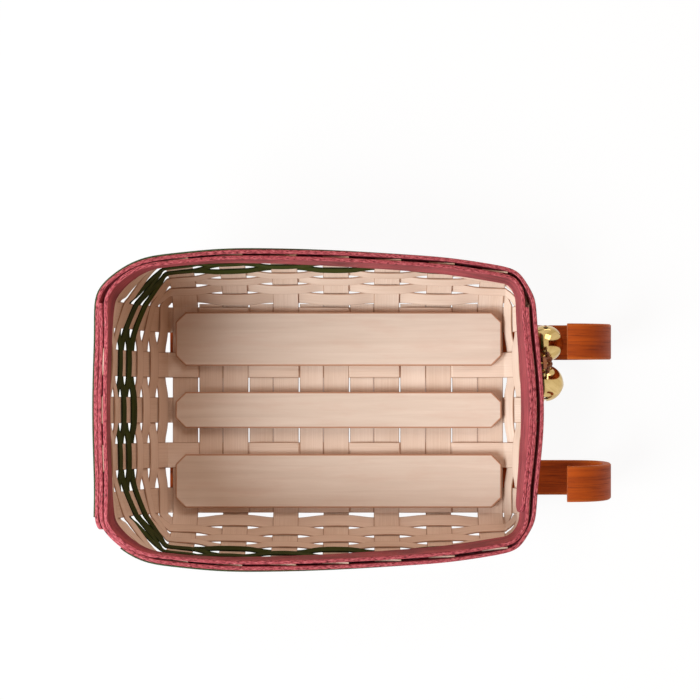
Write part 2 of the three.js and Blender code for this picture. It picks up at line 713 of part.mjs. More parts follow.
function tackGeometry() {
  const length = TAB_LIFT - BAND_LIFT + (TAB_THICKNESS - BAND_THICKNESS) / 2 + TACK_BITE;
  const profile = [
    [0, -length],
    [TACK_SHANK_RADIUS, -length + TACK_SHANK_RADIUS],
    [TACK_SHANK_RADIUS, CLEARANCE],
    [TACK_HEAD_RADIUS, CLEARANCE],
    [TACK_CROWN_RADIUS, CLEARANCE + TACK_HEAD_HEIGHT - TACK_CROWN_HEIGHT],
    [0, CLEARANCE + TACK_HEAD_HEIGHT],
  ].map(([r, y]) => new THREE.Vector2(r, y));
  const geometry = new THREE.LatheGeometry(profile, ROUND_SIDES);
  const head = onTab(TAB_LENGTH / 2 - TACK_INSET, TAB_THICKNESS / 2);
  return geometry.applyQuaternion(outwards).translate(head.x, head.y, head.z);
}

function tackHole() {
  const length = 2 * (TAB_LIFT - BAND_LIFT + TAB_THICKNESS / 2 + BAND_THICKNESS);
  const radius = TACK_SHANK_RADIUS + CLEARANCE;
  const geometry = new THREE.CylinderGeometry(radius, radius, length, ROUND_SIDES);
  const middle = onTab(TAB_LENGTH / 2 - TACK_INSET, TAB_THICKNESS / 2);
  return geometry.applyQuaternion(outwards).translate(middle.x, middle.y, middle.z);
}

function makeHanger(rim) {
  const ends = [-1, 1].map((side) => ({
    p: onTab((side * TAB_LENGTH) / 2, 0),
    across: tabFrame.along.clone().negate(),
    out: tabFrame.out,
  }));
  const hole = tackHole();
  addMesh("bell_tab", cut(splint(ends, TAB_WIDTH, TAB_THICKNESS), [hole]), leather);
  addMesh("bell_tab_tack", tackGeometry(), tackBrass);
  addMesh("outer_band", cut(rim.outer, [hole]), rimWood);
  addMesh("trim_strip", cut(rim.trim, [hole]), trimWood);
  addMesh("inner_band", rim.inner, rimWood);
  const profile = [
    [0, -KNOT_LENGTH / 2],
    [KNOT_END_RADIUS, -KNOT_LENGTH / 2],
    [KNOT_RADIUS, -KNOT_FLAT / 2],
    [KNOT_RADIUS, KNOT_FLAT / 2],
    [KNOT_END_RADIUS, KNOT_LENGTH / 2],
    [0, KNOT_LENGTH / 2],
  ].map(([r, y]) => new THREE.Vector2(r, y));
  const knot = new THREE.LatheGeometry(profile, ROUND_SIDES);
  addMesh("bell_knot", knot.translate(knotCentre.x, knotCentre.y, knotCentre.z), leather);
}

// Jingle bell: two brass halves, a wire ring, a loose pellet and the thong from the knot
function halfShell() {
  const arc = (radius) =>
    Array.from({ length: BELL_RINGS + 1 }, (_, k) => {
      const angle = ((Math.PI / 2) * k) / BELL_RINGS;
      const r = k < BELL_RINGS ? radius * Math.cos(angle) : 0;
      return new THREE.Vector2(r, BELL_SEAM / 2 + radius * Math.sin(angle));
    });
  const profile = [...arc(BELL_RADIUS - BELL_WALL).reverse(), ...arc(BELL_RADIUS)];
  return new THREE.LatheGeometry(profile, BELL_SIDES).rotateX(Math.PI / 2);
}

function slottedShell() {
  const shell = halfShell().rotateX(Math.PI);
  const angle = THREE.MathUtils.degToRad(BELL_HOLE_ANGLE);
  const reach = BELL_RADIUS * Math.sin(angle);
  const cutters = [0, 1].flatMap((turn) => {
    const slot = new THREE.BoxGeometry(2 * reach, BELL_SLOT, BELL_RADIUS);
    slot.translate(0, 0, -BELL_RADIUS);
    const holes = [-1, 1].map((side) => {
      const hole = new THREE.CylinderGeometry(BELL_HOLE_RADIUS, BELL_HOLE_RADIUS, BELL_RADIUS, ROUND_SIDES);
      hole.translate(0, -BELL_RADIUS, 0);
      return hole.rotateX(Math.PI / 2).rotateY(-side * angle);
    });
    return [slot, ...holes].map((cutter) => cutter.rotateZ((turn * Math.PI) / 2));
  });
  return cut(shell, cutters);
}

// A bell hangs beside the knot, with its ring leaning in under it and its slots facing out and down
const bellPlace = (side) => new THREE.Vector3(knotCentre.x, knotCentre.y + (side * BELL_SPACING) / 2, bellZ);

function thongGeometry(side) {
  const lean = new THREE.Vector3(0, -side * Math.sin(bellTilt), Math.cos(bellTilt));
  const through = new THREE.Vector3(0, side * Math.cos(bellTilt), Math.sin(bellTilt));
  const hang = RING_RADIUS - RING_WIRE_RADIUS - THONG_RADIUS - CLEARANCE;
  const seat = bellPlace(side).addScaledVector(lean, ringReach + hang);
  const from = knotCentre.clone();
  from.y += side * (KNOT_LENGTH / 2 + CLEARANCE);
  const turn = from.clone();
  turn.y += side * 2 * THONG_RADIUS;
  const route = [
    from,
    turn,
    seat.clone().addScaledVector(through, 2 * RING_RADIUS - RING_WIRE_RADIUS),
    seat,
    seat.clone().addScaledVector(through, -THONG_RADIUS - RING_WIRE_RADIUS),
  ];
  const section = new THREE.Shape().absellipse(0, 0, THONG_RADIUS, THONG_RADIUS, 0, 2 * Math.PI);
  return new THREE.ExtrudeGeometry(section, {
    curveSegments: THONG_SEGMENTS,
    steps: THONG_STEPS,
    extrudePath: new THREE.CatmullRomCurve3(route),
  });
}

function makeBell(number, side) {
  const bell = new THREE.Group();
  bell.position.copy(bellPlace(side));
  bell.rotation.x = side * bellTilt;
  basket.add(bell);
  addMesh(`bell_${number}_cap`, halfShell(), bellBrass, bell);
  addMesh(`bell_${number}_cup`, slottedShell(), bellBrass, bell);
  const ring = new THREE.TorusGeometry(RING_RADIUS, RING_WIRE_RADIUS, RING_TUBE_SIDES, RING_STEPS);
  ring.rotateX(Math.PI / 2).translate(0, 0, ringReach);
  addMesh(`bell_${number}_ring`, ring, bellBrass, bell);
  const pellet = new THREE.IcosahedronGeometry(PELLET_RADIUS, 1);
  const { x, y, z } = bellPlace(side);
  const drop = BELL_RADIUS - BELL_WALL - PELLET_RADIUS - 2 * CLEARANCE;
  addMesh(`bell_${number}_pellet`, pellet.translate(x, y, z - drop), screwSteel);
  addMesh(`bell_${number}_thong`, thongGeometry(side), leather);
}

// Assembly
crossStakeX.forEach((x, k) => makeCrossStake(x, k + 1));
longStakeY.forEach((y, k) => makeLongStake(y, k + 1));
for (let k = 1; k < CROSS_STAKE_COUNT; k++) makeFiller(k);
for (let row = 1; row <= ROW_COUNT; row++) {
  makeWeaver(row);
}
makeHanger(makeRim());
[
  ["left", 1],
  ["right", -1],
].forEach(([name, side]) => {
  addMesh(`${name}_runner`, runnerGeometry(side * RUNNER_OFFSET), runnerWood);
  addMesh(`${name}_board`, boardGeometry(SIDE_BOARD_WIDTH, side * SIDE_BOARD_OFFSET, screwX), boardWood);
  screwX.forEach((x, k) => makeScrew(x, side * RUNNER_OFFSET, `${name}_screw_${k + 1}`));
});
addMesh("middle_board", boardGeometry(MIDDLE_BOARD_WIDTH, 0, []), boardWood);
makeBell(1, 1);
makeBell(2, -1);

// The origin is under the middle of the whole object
const middle = new THREE.Box3().setFromObject(basket, true).getCenter(new THREE.Vector3());
basket.position.set(-middle.x, -middle.y, 0);

const sleighBasket = new THREE.Group();
sleighBasket.add(basket);
export default sleighBasket;
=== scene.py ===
"""Looks of a splint-woven sleigh basket, in metres: splints, rim, boards, runners, bells and leather."""

import json
import math

import bpy
import numpy as np
from mathutils import Matrix, Vector


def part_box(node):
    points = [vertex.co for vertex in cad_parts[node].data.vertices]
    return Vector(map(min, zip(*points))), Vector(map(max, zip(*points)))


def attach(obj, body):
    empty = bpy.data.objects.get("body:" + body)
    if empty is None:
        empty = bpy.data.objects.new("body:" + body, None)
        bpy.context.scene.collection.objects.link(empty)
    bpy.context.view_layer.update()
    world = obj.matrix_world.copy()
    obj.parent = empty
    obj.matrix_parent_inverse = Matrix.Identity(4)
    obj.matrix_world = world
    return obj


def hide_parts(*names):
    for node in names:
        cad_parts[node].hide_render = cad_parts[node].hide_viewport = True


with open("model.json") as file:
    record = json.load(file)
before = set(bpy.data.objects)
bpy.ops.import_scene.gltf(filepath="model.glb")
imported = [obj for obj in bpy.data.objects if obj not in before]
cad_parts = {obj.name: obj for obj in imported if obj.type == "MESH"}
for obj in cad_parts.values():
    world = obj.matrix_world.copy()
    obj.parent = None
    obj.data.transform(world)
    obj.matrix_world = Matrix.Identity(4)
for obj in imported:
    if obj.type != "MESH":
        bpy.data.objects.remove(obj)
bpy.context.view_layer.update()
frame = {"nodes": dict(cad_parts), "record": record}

# Woven floor: the cross stakes after the first SPREAD_AFTER stand further forward
FLOOR_LENGTH = 0.251
FLOOR_WIDTH = 0.155
CORNER_GAP = 0.002
STAKE_WIDTH = 0.019
STAKE_THICKNESS = 0.0011
LONG_STAKE_COUNT = 5
LONG_PITCH = 0.03375
CROSS_STAKE_COUNT = 7
FLOOR_LIFT = 0.0012
FRONT_SPREAD = 0.00125
SPREAD_AFTER = 5
FILLER_SLIT = 0.00097
FILLER_GAP = 0.0001
FILLER_INSET = 0.001
FILLER_PAST = 0.002
FILLER_STEPS = 40
BEND_RADIUS = 0.0016
BEND_OVERLAP = 0.0004
STAKE_STEPS = 22
STAKE_SPACING = 0.003
SPLINT_ROUND = 0.00025

# Weavers
ROW_COUNT = 12
FULL_ROWS = 4
GREEN_ROWS = (5, 6, 7, 8)
ROW_PITCH = 0.0094
FIRST_ROW_HEIGHT = 0.002
ROW_GAP = 0.0002
WEAVER_THICKNESS = 0.001
WEAVER_LIFT = 0.00115
WEAVER_LEAD = 0.001
WEAVER_CORNER_STEPS = 6
CORNER_FILL = 0.022
WEAVER_SPACING = 0.0022
WEAVER_WOBBLE = 0.00025
WEAVER_WAVES = 15
WEAVER_SEED = 40

# Rim: ranges in X run backwards from the basket's middle, and laps count stations past an end wall's
BACK_RIM_HEIGHT = 0.120
FRONT_RIM_HEIGHT = 0.050
RIM_SWEEP = 0.85
CORNER_SWEEP = 0.022
BAND_WIDTH = 0.019
BAND_THICKNESS = 0.0027
BAND_LIFT = 0.0023
BAND_OPENING = 0.0004
BAND_STEP = 0.0028
CORNER_PINCH = 0.42
TRIM_WIDTH = 0.010
TRIM_THICKNESS = 0.0012
TRIM_LIFT = 0.00425
TRIM_RISE = 0.004
TRIM_RISE_X = (-0.06, 0.08)
TRIM_START = 10
INNER_TAPER = 0.26
INNER_TAPER_X = (0.06, 0.13)
BAND_ROUND = 0.0005
BAND_WOBBLE = 0.0002
BAND_WAVES = 20
TIP_ANGLE = math.radians(86)
OUTER_LAP = 1
INNER_LAP = -1
CORNER_STEPS = 20
LONG_STEPS = 48
SHORT_STEPS = 30
CORNER_NUDGE = 0.001
STAKE_TOP_INSET = 0.001
FRONT_TOP_INSET = 0.006

# Walls: how far each leans out at most, the height over which it turns upright, and its bow with height
FRONT = {"reach": 0.0203, "rise": 0.030, "bow": 0.006 / FRONT_RIM_HEIGHT}
SIDE = {"reach": 0.0329, "rise": 0.032, "bow": 0.003 / BACK_RIM_HEIGHT}
BACK = {"reach": 0.0385, "rise": 0.050, "bow": 0.002 / BACK_RIM_HEIGHT}

# Corners: how far the long walls and the back draw in towards them, and between which places that grows
CORNER_DRAW = 0.008
DRAW_LENGTH = 0.090
DRAW_WIDTH = 0.030
DRAW_PAST_X = 0.0365
DRAW_PAST_Y = 0.022
DRAW_PROBE = 0.0005
BACK_DRAW = 0.012
BACK_DRAW_Y = (0.050, 0.092)
BACK_DRAW_X = (0.118, 0.150)
BACK_DRAW_TOP = 0.112

# Boards and runners
BOARD_SHIFT = 0.0018
BOARD_CORNER_CUT = 0.0075
BOARD_ROUND = 0.0009
BOARD_LINE = 0.0006
BOARD_ROUND_STEPS = 5
RUNNER_THICKNESS = 0.006
RUNNER_ROUND = 0.0009
CURL_RADIUS = 0.035
CURL_SKEWS = (-0.001, -0.003)
RUNNER_STEPS = 60
CURL_STEPS = 40

# Screws: shank and flat as shares of the head's radius, and the heights of the head's edge and cone
SCREW_SHANK = 0.5
SCREW_FLAT = 0.96
SCREW_EDGE = 0.0003
SCREW_CONE = 0.0021
SCREW_SIDES = 32
RUNNER_SCREWS = 3

# Bells and leather: CORD_SIDE is any way that no cord starts along
BELL_RADIUS = 0.0136
BELL_WALL = 0.0009
BELL_TILT = math.radians(40)
BELL_DROP = 0.0089
BELL_HOLE_ANGLES = (math.radians(79), math.radians(58))
BELL_SLOT = 0.0016
BELL_SIDES = 64
SLOT_DEPTHS = (-1.2 * BELL_RADIUS, -0.25 * BELL_RADIUS)
SLOT_END = ((-0.0021, 0.0), (0.0021, 0.0), (0.0, 0.0042))
SLOT_END_DEPTHS = (0.7 * BELL_RADIUS, 1.3 * BELL_RADIUS)
RING_RADIUS = 0.0026
RING_WIRE = 0.0007
RING_REACH = 0.0172
RING_STEPS = 40
RING_SEAT = 0.0005
THONG_RADIUS = 0.0011
THONG_LEAD = 0.0045
THONG_TAIL = 0.0018
THONG_SPACING = 0.0006
KNOT_RADIUS = THONG_RADIUS * 1.15
KNOT_STEPS = 120
CORD_SIDES = 14
CORD_SIDE = (0.31, 0.52, 0.79)
TAB_STEPS = 40
TAB_NARROWING = 0.85
TAB_TIP = 0.02
TAB_ROUND = 0.0004

# Bell shell: the angles left free at its seam and its poles. The seam is (radius past the shell, height)
# and the boss (radius, height past the shell)
QUARTER = math.pi / 2
CAP_SEAM_ANGLE = 0.06
CAP_POLE_ANGLE = 0.18
CUP_SEAM_ANGLE = 0.004
CUP_POLE_ANGLE = 0.08
LINING_POLE_ANGLE = 0.1
SHELL_STEPS = 18
LINING_STEPS = 12
BELL_SEAM = ((0.0, 0.00005), (0.0002, 0.0003), (0.0001, 0.0007))
BELL_BOSS = ((0.002, 0.0), (0.0014, 0.0004), (0.0, 0.0005))

# Grain: where along the wood's texture a piece starts, a step further on for each piece of its kind
WEAVER_GRAIN = 1.3
STAKE_GRAIN = 0.9
LONG_STAKE_SEED = 20
FILLER_GRAIN = 0.7
FIRST_FILLER_GRAIN = 40
TRIM_GRAIN = 8.0
BOARD_GRAIN = 2.0
RUNNER_GRAIN = 5.0

# Stage, light and camera, the lens and its sensor in millimetres
STAGE_HALF = 4.0
STAGE_DROP = 0.0002
STAGE_COLOUR = (0.86, 0.86, 0.86, 1)
STAGE_GLOW = 0.93
ROOM_COLOUR = (1.0, 0.58, 0.35, 1)
ROOM_STRENGTH = 0.31
WHITE = (1, 1, 1, 1)
LIGHT_TARGET = (0, 0, 0.03)
LENS = 116.6
SENSOR = 36.0
CAMERA_SHIFT = 60 / 700
CAMERA_FORWARD = 0.01035
CAMERA_HEIGHT = 1.7

# Faces that meet at more than this angle keep a sharp edge
SHARP_ANGLE = math.radians(40)

# Places worked out from the sizes and the frame
MIDDLE_X = sum(corner.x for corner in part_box("middle_board")) / 2 - BOARD_SHIFT
FLOOR_Z = sum(corner.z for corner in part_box("floor_filler_1")) / 2
HALF_LENGTH = FLOOR_LENGTH / 2
HALF_WIDTH = FLOOR_WIDTH / 2
CORNER_X = HALF_LENGTH - CORNER_GAP
CORNER_Y = HALF_WIDTH - CORNER_GAP
CROSS_PITCH = (2 * (CORNER_X - WEAVER_LEAD) - STAKE_WIDTH) / (CROSS_STAKE_COUNT - 1)
BASKET_ORIGIN = np.array([MIDDLE_X, 0.0, FLOOR_Z])

RECORD = frame["record"]
BODY_OF = {node: body for body, nodes in RECORD["behaviour"]["bodies"].items() for node in nodes}
SLOT_OF = {part["node"]: part["material_slot"] for part in RECORD["subparts"]}


# Vectors and smooth paths
def unit(vectors):
    return vectors / np.linalg.norm(vectors, axis=-1, keepdims=True)


def wobble(count, seed, waves):
    """Smooth closed noise from about -1 to 1, the same for the same seed."""
    random = np.random.default_rng(seed)
    turn = np.linspace(0, 2 * np.pi, count, endpoint=False)
    total = np.zeros(count)
    for wave in range(1, waves + 1):
        total += random.normal() * np.sin(wave * turn + random.uniform(0, 2 * np.pi))
    return total / math.sqrt(waves)


def smooth_path(points, spacing, closed=False):
    """Hermite curve through rows of numbers that start with a place, sampled about every spacing."""
    points = np.asarray(points, float)
    count = len(points)
    spans = count if closed else count - 1
    following = np.roll(points, -1, axis=0)
    lengths = np.linalg.norm((following - points)[:, :3], axis=1)
    slopes = (following - points) / np.maximum(lengths, 1e-9)[:, None]
    before = np.roll(slopes, 1, axis=0)
    weight = np.roll(lengths, 1)
    tangents = (before * weight[:, None] + slopes * lengths[:, None]) / (weight + lengths)[:, None]
    if not closed:
        tangents[0] = slopes[0]
        tangents[-1] = slopes[-2]
    rows = []
    for i in range(spans):
        j = (i + 1) % count
        steps = max(1, round(lengths[i] / spacing))
        for t in np.arange(steps) / steps:
            a = (1 + 2 * t) * (1 - t) ** 2
            b = t * (1 - t) ** 2
            c = t * t * (3 - 2 * t)
            d = t * t * (t - 1)
            rows.append(a * points[i] + c * points[j] + lengths[i] * (b * tangents[i] + d * tangents[j]))
    if not closed:
        rows.append(points[-1])
    return np.array(rows)


# Meshes
def new_object(name, verts, faces, uvs, edge):
    mesh = bpy.data.meshes.new(name)
    mesh.from_pydata([tuple(v) for v in verts], [], faces)
    layer = mesh.uv_layers.new(name="UVMap")
    layer.data.foreach_set("uv", np.asarray(uvs, np.float32).ravel())
    attribute = mesh.attributes.new("edge", "FLOAT", "POINT")
    attribute.data.foreach_set("value", np.asarray(edge, np.float32))
    mesh.polygons.foreach_set("use_smooth", [True] * len(mesh.polygons))
    mesh.set_sharp_from_angle(angle=SHARP_ANGLE)
    obj = bpy.data.objects.new(name, mesh)
    bpy.context.scene.collection.objects.link(obj)
    return obj


def volume(verts, faces):
    total = 0.0
    for face in faces:
        for k in range(1, len(face) - 1):
            a, b, c = verts[face[0]], verts[face[k]], verts[face[k + 1]]
            total += np.dot(a, np.cross(b, c))
    return total


def loft(name, rings, edge, closed=False, shift=0.0):
    """Skin over rings of points (count, corners, 3), with a texture laid along it in metres."""
    rings = np.asarray(rings, float)
    count, corners = rings.shape[:2]
    verts = rings.reshape(-1, 3)
    middles = rings.mean(axis=1)
    steps = np.linalg.norm(np.diff(np.vstack([middles, middles[:1]]), axis=0), axis=1)
    along = shift + np.concatenate([[0], np.cumsum(steps)])
    sides = np.linalg.norm(np.roll(rings[count // 2], -1, axis=0) - rings[count // 2], axis=1)
    around = np.concatenate([[0], np.cumsum(sides)])
    faces, uvs = [], []
    for i in range(count if closed else count - 1):
        j = (i + 1) % count
        for k in range(corners):
            m = (k + 1) % corners
            faces.append([i * corners + k, i * corners + m, j * corners + m, j * corners + k])
            uvs.append([(along[i], around[k]), (along[i], around[k + 1]),
                        (along[i + 1], around[k + 1]), (along[i + 1], around[k])])
    if not closed:
        for i, order in ((0, range(corners - 1, -1, -1)), (count - 1, range(corners))):
            faces.append([i * corners + k for k in order])
            uvs.append([(along[i], around[k]) for k in order])
    if volume(verts, faces) < 0:
        faces = [face[::-1] for face in faces]
        uvs = [uv[::-1] for uv in uvs]
    flat = [uv for face in uvs for uv in face]
    return new_object(name, verts, faces, flat, np.tile(edge, count))


def strip_section(width, thickness, rounding):
    """Section of a flat strip with eased edges: places across and through, and which lie at an edge."""
    half, deep = width / 2, thickness / 2
    near = min(4 * rounding, half / 2)
    face = [(-half + rounding, 1), (-half + near, 0), (0, 0), (half - near, 0), (half - rounding, 1)]
    section = [(a, -deep, e) for a, e in face]
    section += [(half, -deep + rounding, 1), (half, deep - rounding, 1)]
    section += [(a, deep, e) for a, e in reversed(face)]
    section += [(-half, deep - rounding, 1), (-half, -deep + rounding, 1)]
    return np.array(section)


def strip(name, places, across, out, size, closed=False, taper=None, shift=0.0, rounding=SPLINT_ROUND):
    """Flat strip of size (width, thickness) along places, wide along across and thick along out."""
    section = strip_section(*size, rounding)
    taper = np.ones(len(places)) if taper is None else taper
    wide = across[:, None, :] * section[None, :, 0, None] * taper[:, None, None]
    deep = out[:, None, :] * section[None, :, 1, None]
    return loft(name, places[:, None, :] + wide + deep, section[:, 2], closed, shift)


def tube(name, places, radius, closed=False):
    """Round cord along places."""
    places = np.asarray(places, float)
    if closed:
        tangents = unit(np.roll(places, -1, axis=0) - np.roll(places, 1, axis=0))
    else:
        tangents = unit(np.gradient(places, axis=0))
    normal = np.cross(tangents[0], CORD_SIDE)
    normals = []
    for tangent in tangents:
        normal = unit(normal - tangent * np.dot(normal, tangent))
        normals.append(normal)
    normals = np.array(normals)
    sideways = np.cross(tangents, normals)
    if closed:
        first = np.arctan2(np.dot(normals[-1], sideways[0]), np.dot(normals[-1], normals[0]))
        undo = -first * np.arange(len(places)) / (len(places) - 1)
        cos, sin = np.cos(undo)[:, None], np.sin(undo)[:, None]
        normals, sideways = normals * cos + sideways * sin, sideways * cos - normals * sin
    angles = np.linspace(0, 2 * np.pi, CORD_SIDES, endpoint=False)
    around = normals[:, None] * np.cos(angles)[None, :, None]
    around = around + sideways[:, None] * np.sin(angles)[None, :, None]
    rings = places[:, None] + radius * around
    return loft(name, rings, np.zeros(CORD_SIDES), closed)


def lathe(name, profile, sides):
    """Turned piece about Z: profile is (radius, height) and starts and ends on the axis."""
    profile = np.asarray(profile, float)
    angles = np.linspace(0, 2 * np.pi, sides, endpoint=False)
    body = profile[1:-1]
    rings = np.array([[(r * math.cos(a), r * math.sin(a), z) for a in angles] for r, z in body])
    count = len(body)
    verts = np.vstack([rings.reshape(-1, 3), [(0, 0, profile[0][1]), (0, 0, profile[-1][1])]])
    faces = []
    for i in range(count - 1):
        for k in range(sides):
            m = (k + 1) % sides
            faces.append([i * sides + k, i * sides + m, (i + 1) * sides + m, (i + 1) * sides + k])
    low, high = count * sides, count * sides + 1
    for k in range(sides):
        m = (k + 1) % sides
        faces.append([low, m, k])
        faces.append([high, (count - 1) * sides + k, (count - 1) * sides + m])
    if volume(verts, faces) < 0:
        faces = [face[::-1] for face in faces]
    flat = [(verts[v][0] + verts[v][2], verts[v][1]) for face in faces for v in face]
    return new_object(name, verts, faces, flat, np.zeros(len(verts)))


def carve(obj, cutters):
    """Cuts the cutters out of obj and removes them."""
    for cutter in cutters:
        modifier = obj.modifiers.new("carve", "BOOLEAN")
        modifier.object = cutter
        modifier.solver = "EXACT"
    bpy.context.view_layer.update()
    carved = bpy.data.meshes.new_from_object(obj.evaluated_get(bpy.context.evaluated_depsgraph_get()))
    obj.modifiers.clear()
    obj.data = carved
    carved.set_sharp_from_angle(angle=SHARP_ANGLE)
    for cutter in cutters:
        bpy.data.objects.remove(cutter)
    return obj


def place(obj, matrix):
    obj.data.transform(matrix)
    return obj


# Materials
class Paint:
    """A material with short ways to add and link its nodes."""

    def __init__(self, name, **shader):
        self.material = bpy.data.materials.new(name)
        self.material.use_nodes = True
        self.tree = self.material.node_tree
        self.shader = self.tree.nodes["Principled BSDF"]
        for socket, value in shader.items():
            self.feed(self.shader, socket.replace("_", " "), value)

    def feed(self, node, socket, value):
        if isinstance(value, bpy.types.NodeSocket):
            self.tree.links.new(value, node.inputs[socket])
        else:
            node.inputs[socket].default_value = value

    def node(self, kind, inputs, **settings):
        node = self.tree.nodes.new(kind)
        for key, value in settings.items():
            setattr(node, key, value)
        for socket, value in inputs.items():
            self.feed(node, socket, value)
        return node

    def along(self, length, width, offset=0.0):
        """Texture place on a strip, with one unit every length along it and every width across it."""
        coordinates = self.node("ShaderNodeTexCoord", {})
        mapping = {
            "Vector": coordinates.outputs["UV"],
            "Location": (offset, offset, 0),
            "Scale": (1 / length, 1 / width, 1),
        }
        return self.node("ShaderNodeMapping", mapping).outputs["Vector"]

    def noise(self, vector, detail=3.0, roughness=0.55, distortion=0.0):
        inputs = {
            "Vector": vector,
            "Scale": 1.0,
            "Detail": detail,
            "Roughness": roughness,
            "Distortion": distortion,
        }
        return self.node("ShaderNodeTexNoise", inputs).outputs["Fac"]

    def ramp(self, value, *stops):
        node = self.node("ShaderNodeValToRGB", {"Fac": value})
        elements = node.color_ramp.elements
        for (position, colour), element in zip(stops, elements):
            element.position = position
            element.color = (*colour, 1)
        for position, colour in stops[2:]:
            elements.new(position).color = (*colour, 1)
        return node.outputs["Color"]

    def mix(self, share, a, b):
        node = self.node("ShaderNodeMix", {}, data_type="RGBA")
        colours = [socket for socket in node.inputs if socket.type == "RGBA"]
        self.feed(node, 0, share)
        for socket, value in zip(colours, (a, b)):
            if isinstance(value, bpy.types.NodeSocket):
                self.tree.links.new(value, socket)
            else:
                socket.default_value = (*value, 1)
        return [socket for socket in node.outputs if socket.type == "RGBA"][0]

    def fit(self, value, low, high, to_low=0.0, to_high=1.0):
        inputs = {
            "Value": value,
            "From Min": low,
            "From Max": high,
            "To Min": to_low,
            "To Max": to_high,
        }
        return self.node("ShaderNodeMapRange", inputs).outputs["Result"]

    def edge(self):
        return self.node("ShaderNodeAttribute", {}, attribute_name="edge").outputs["Fac"]

    def finish(self, colour, roughness, height, strength, distance):
        """The material with this colour and roughness, and with bumps of this height."""
        bump = {"Height": height, "Strength": strength, "Distance": distance}
        self.feed(self.shader, "Base Color", colour)
        self.feed(self.shader, "Roughness", roughness)
        self.feed(self.shader, "Normal", self.node("ShaderNodeBump", bump).outputs["Normal"])
        return self.material


def splint_paint(name, dark, light, edge_and_shade_colour, roughness, shine):
    """Thin shaved wood: long fibres, a tone that drifts from splint to splint, and browner cut edges,
    darkened further as painted shade in the lines between rows.
    """
    paint = Paint(name, Specular_IOR_Level=shine)
    tone = paint.noise(paint.along(0.11, 0.03), detail=2)
    fibre = paint.noise(paint.along(0.05, 0.0007, 3.1), detail=4, roughness=0.6)
    fleck = paint.noise(paint.along(0.012, 0.0004, 7.7), detail=2)
    share = paint.node("ShaderNodeMath", {0: tone, 1: fibre}, operation="ADD").outputs[0]
    colour = paint.ramp(paint.fit(share, 0.7, 1.3), (0.0, dark), (1.0, light))
    flecked = paint.mix(paint.fit(fleck, 0.62, 0.8, 0, 0.35), colour, dark)
    # The edges mix towards a brown that is partly the cut wood's own colour and partly painted shade
    # between neighbouring splints.
    final = paint.mix(paint.fit(paint.edge(), 0.5, 1.0, 0, 0.8), flecked, edge_and_shade_colour)
    rough = paint.fit(fibre, 0.2, 0.8, roughness - 0.08, roughness + 0.08)
    return paint.finish(final, rough, fibre, 0.35, 0.0002)


def board_paint(name):
    """Sanded maple: wide soft figure, fine pores along the grain, a few pinkish clouds and painted shade
    along the rounded edges.
    """
    paint = Paint(name, Specular_IOR_Level=0.25)
    figure = paint.noise(paint.along(0.12, 0.005, 1.7), detail=5, roughness=0.55, distortion=0.6)
    cloud = paint.noise(paint.along(0.045, 0.009, 5.3), detail=4, roughness=0.6)
    pore = paint.noise(paint.along(0.02, 0.0005, 9.1), detail=3)
    base = paint.ramp(figure, (0.25, (0.60, 0.47, 0.38)), (0.75, (0.70, 0.575, 0.48)))
    warm = paint.mix(paint.fit(cloud, 0.5, 0.75, 0, 0.45), base, (0.60, 0.41, 0.32))
    fine = paint.mix(paint.fit(pore, 0.55, 0.8, 0, 0.25), warm, (0.56, 0.38, 0.28))
    # Painted shade: the rounded edges darken to a thin brown line.
    final = paint.mix(paint.fit(paint.edge(), 0.3, 1.0, 0, 0.85), fine, (0.42, 0.19, 0.10))
    return paint.finish(final, paint.fit(pore, 0.2, 0.8, 0.42, 0.55), pore, 0.2, 0.0002)


def rim_paint(name, dark, light, frayed):
    """Dyed bentwood: streaky dye on the faces, torn pale and dark fibres on the cut edges."""
    paint = Paint(name, Specular_IOR_Level=0.25)
    streak = paint.noise(paint.along(0.03, 0.0012, 2.2), detail=4, roughness=0.6)
    cloud = paint.noise(paint.along(0.04, 0.012, 6.4), detail=2)
    torn = paint.noise(paint.along(0.0032, 0.0008, 4.8), detail=4, roughness=0.7)
    share = paint.node("ShaderNodeMath", {0: streak, 1: cloud}, operation="ADD").outputs[0]
    face = paint.ramp(paint.fit(share, 0.78, 1.22), (0.0, dark), (1.0, light))
    rough_edge = paint.ramp(torn, (0.38, tuple(0.35 * c for c in dark)), (0.5, light), (0.64, frayed))
    final = paint.mix(paint.fit(paint.edge(), 0.4, 1.0), face, rough_edge)
    return paint.finish(final, paint.fit(paint.edge(), 0, 1, 0.5, 0.75), torn, 0.5, 0.0003)


def runner_paint(name):
    """Stained bentwood: orange-brown with dark broken grain lines and paler edges."""
    paint = Paint(name, Specular_IOR_Level=0.2)
    grain = paint.noise(paint.along(0.03, 0.0011, 1.1), detail=5, roughness=0.65, distortion=0.6)
    broad = paint.noise(paint.along(0.05, 0.008, 8.2), detail=3)
    pore = paint.noise(paint.along(0.006, 0.0004, 3.9), detail=3)
    base = paint.ramp(broad, (0.3, (0.28, 0.041, 0.0025)), (0.7, (0.43, 0.074, 0.005)))
    lined = paint.mix(paint.fit(grain, 0.5, 0.68, 0, 0.75), base, (0.11, 0.016, 0.002))
    pored = paint.mix(paint.fit(pore, 0.6, 0.8, 0, 0.4), lined, (0.09, 0.02, 0.005))
    final = paint.mix(paint.fit(paint.edge(), 0.5, 1.0, 0, 0.5), pored, (0.50, 0.12, 0.015))
    return paint.finish(final, paint.fit(grain, 0.3, 0.7, 0.5, 0.65), grain, 0.25, 0.0003)


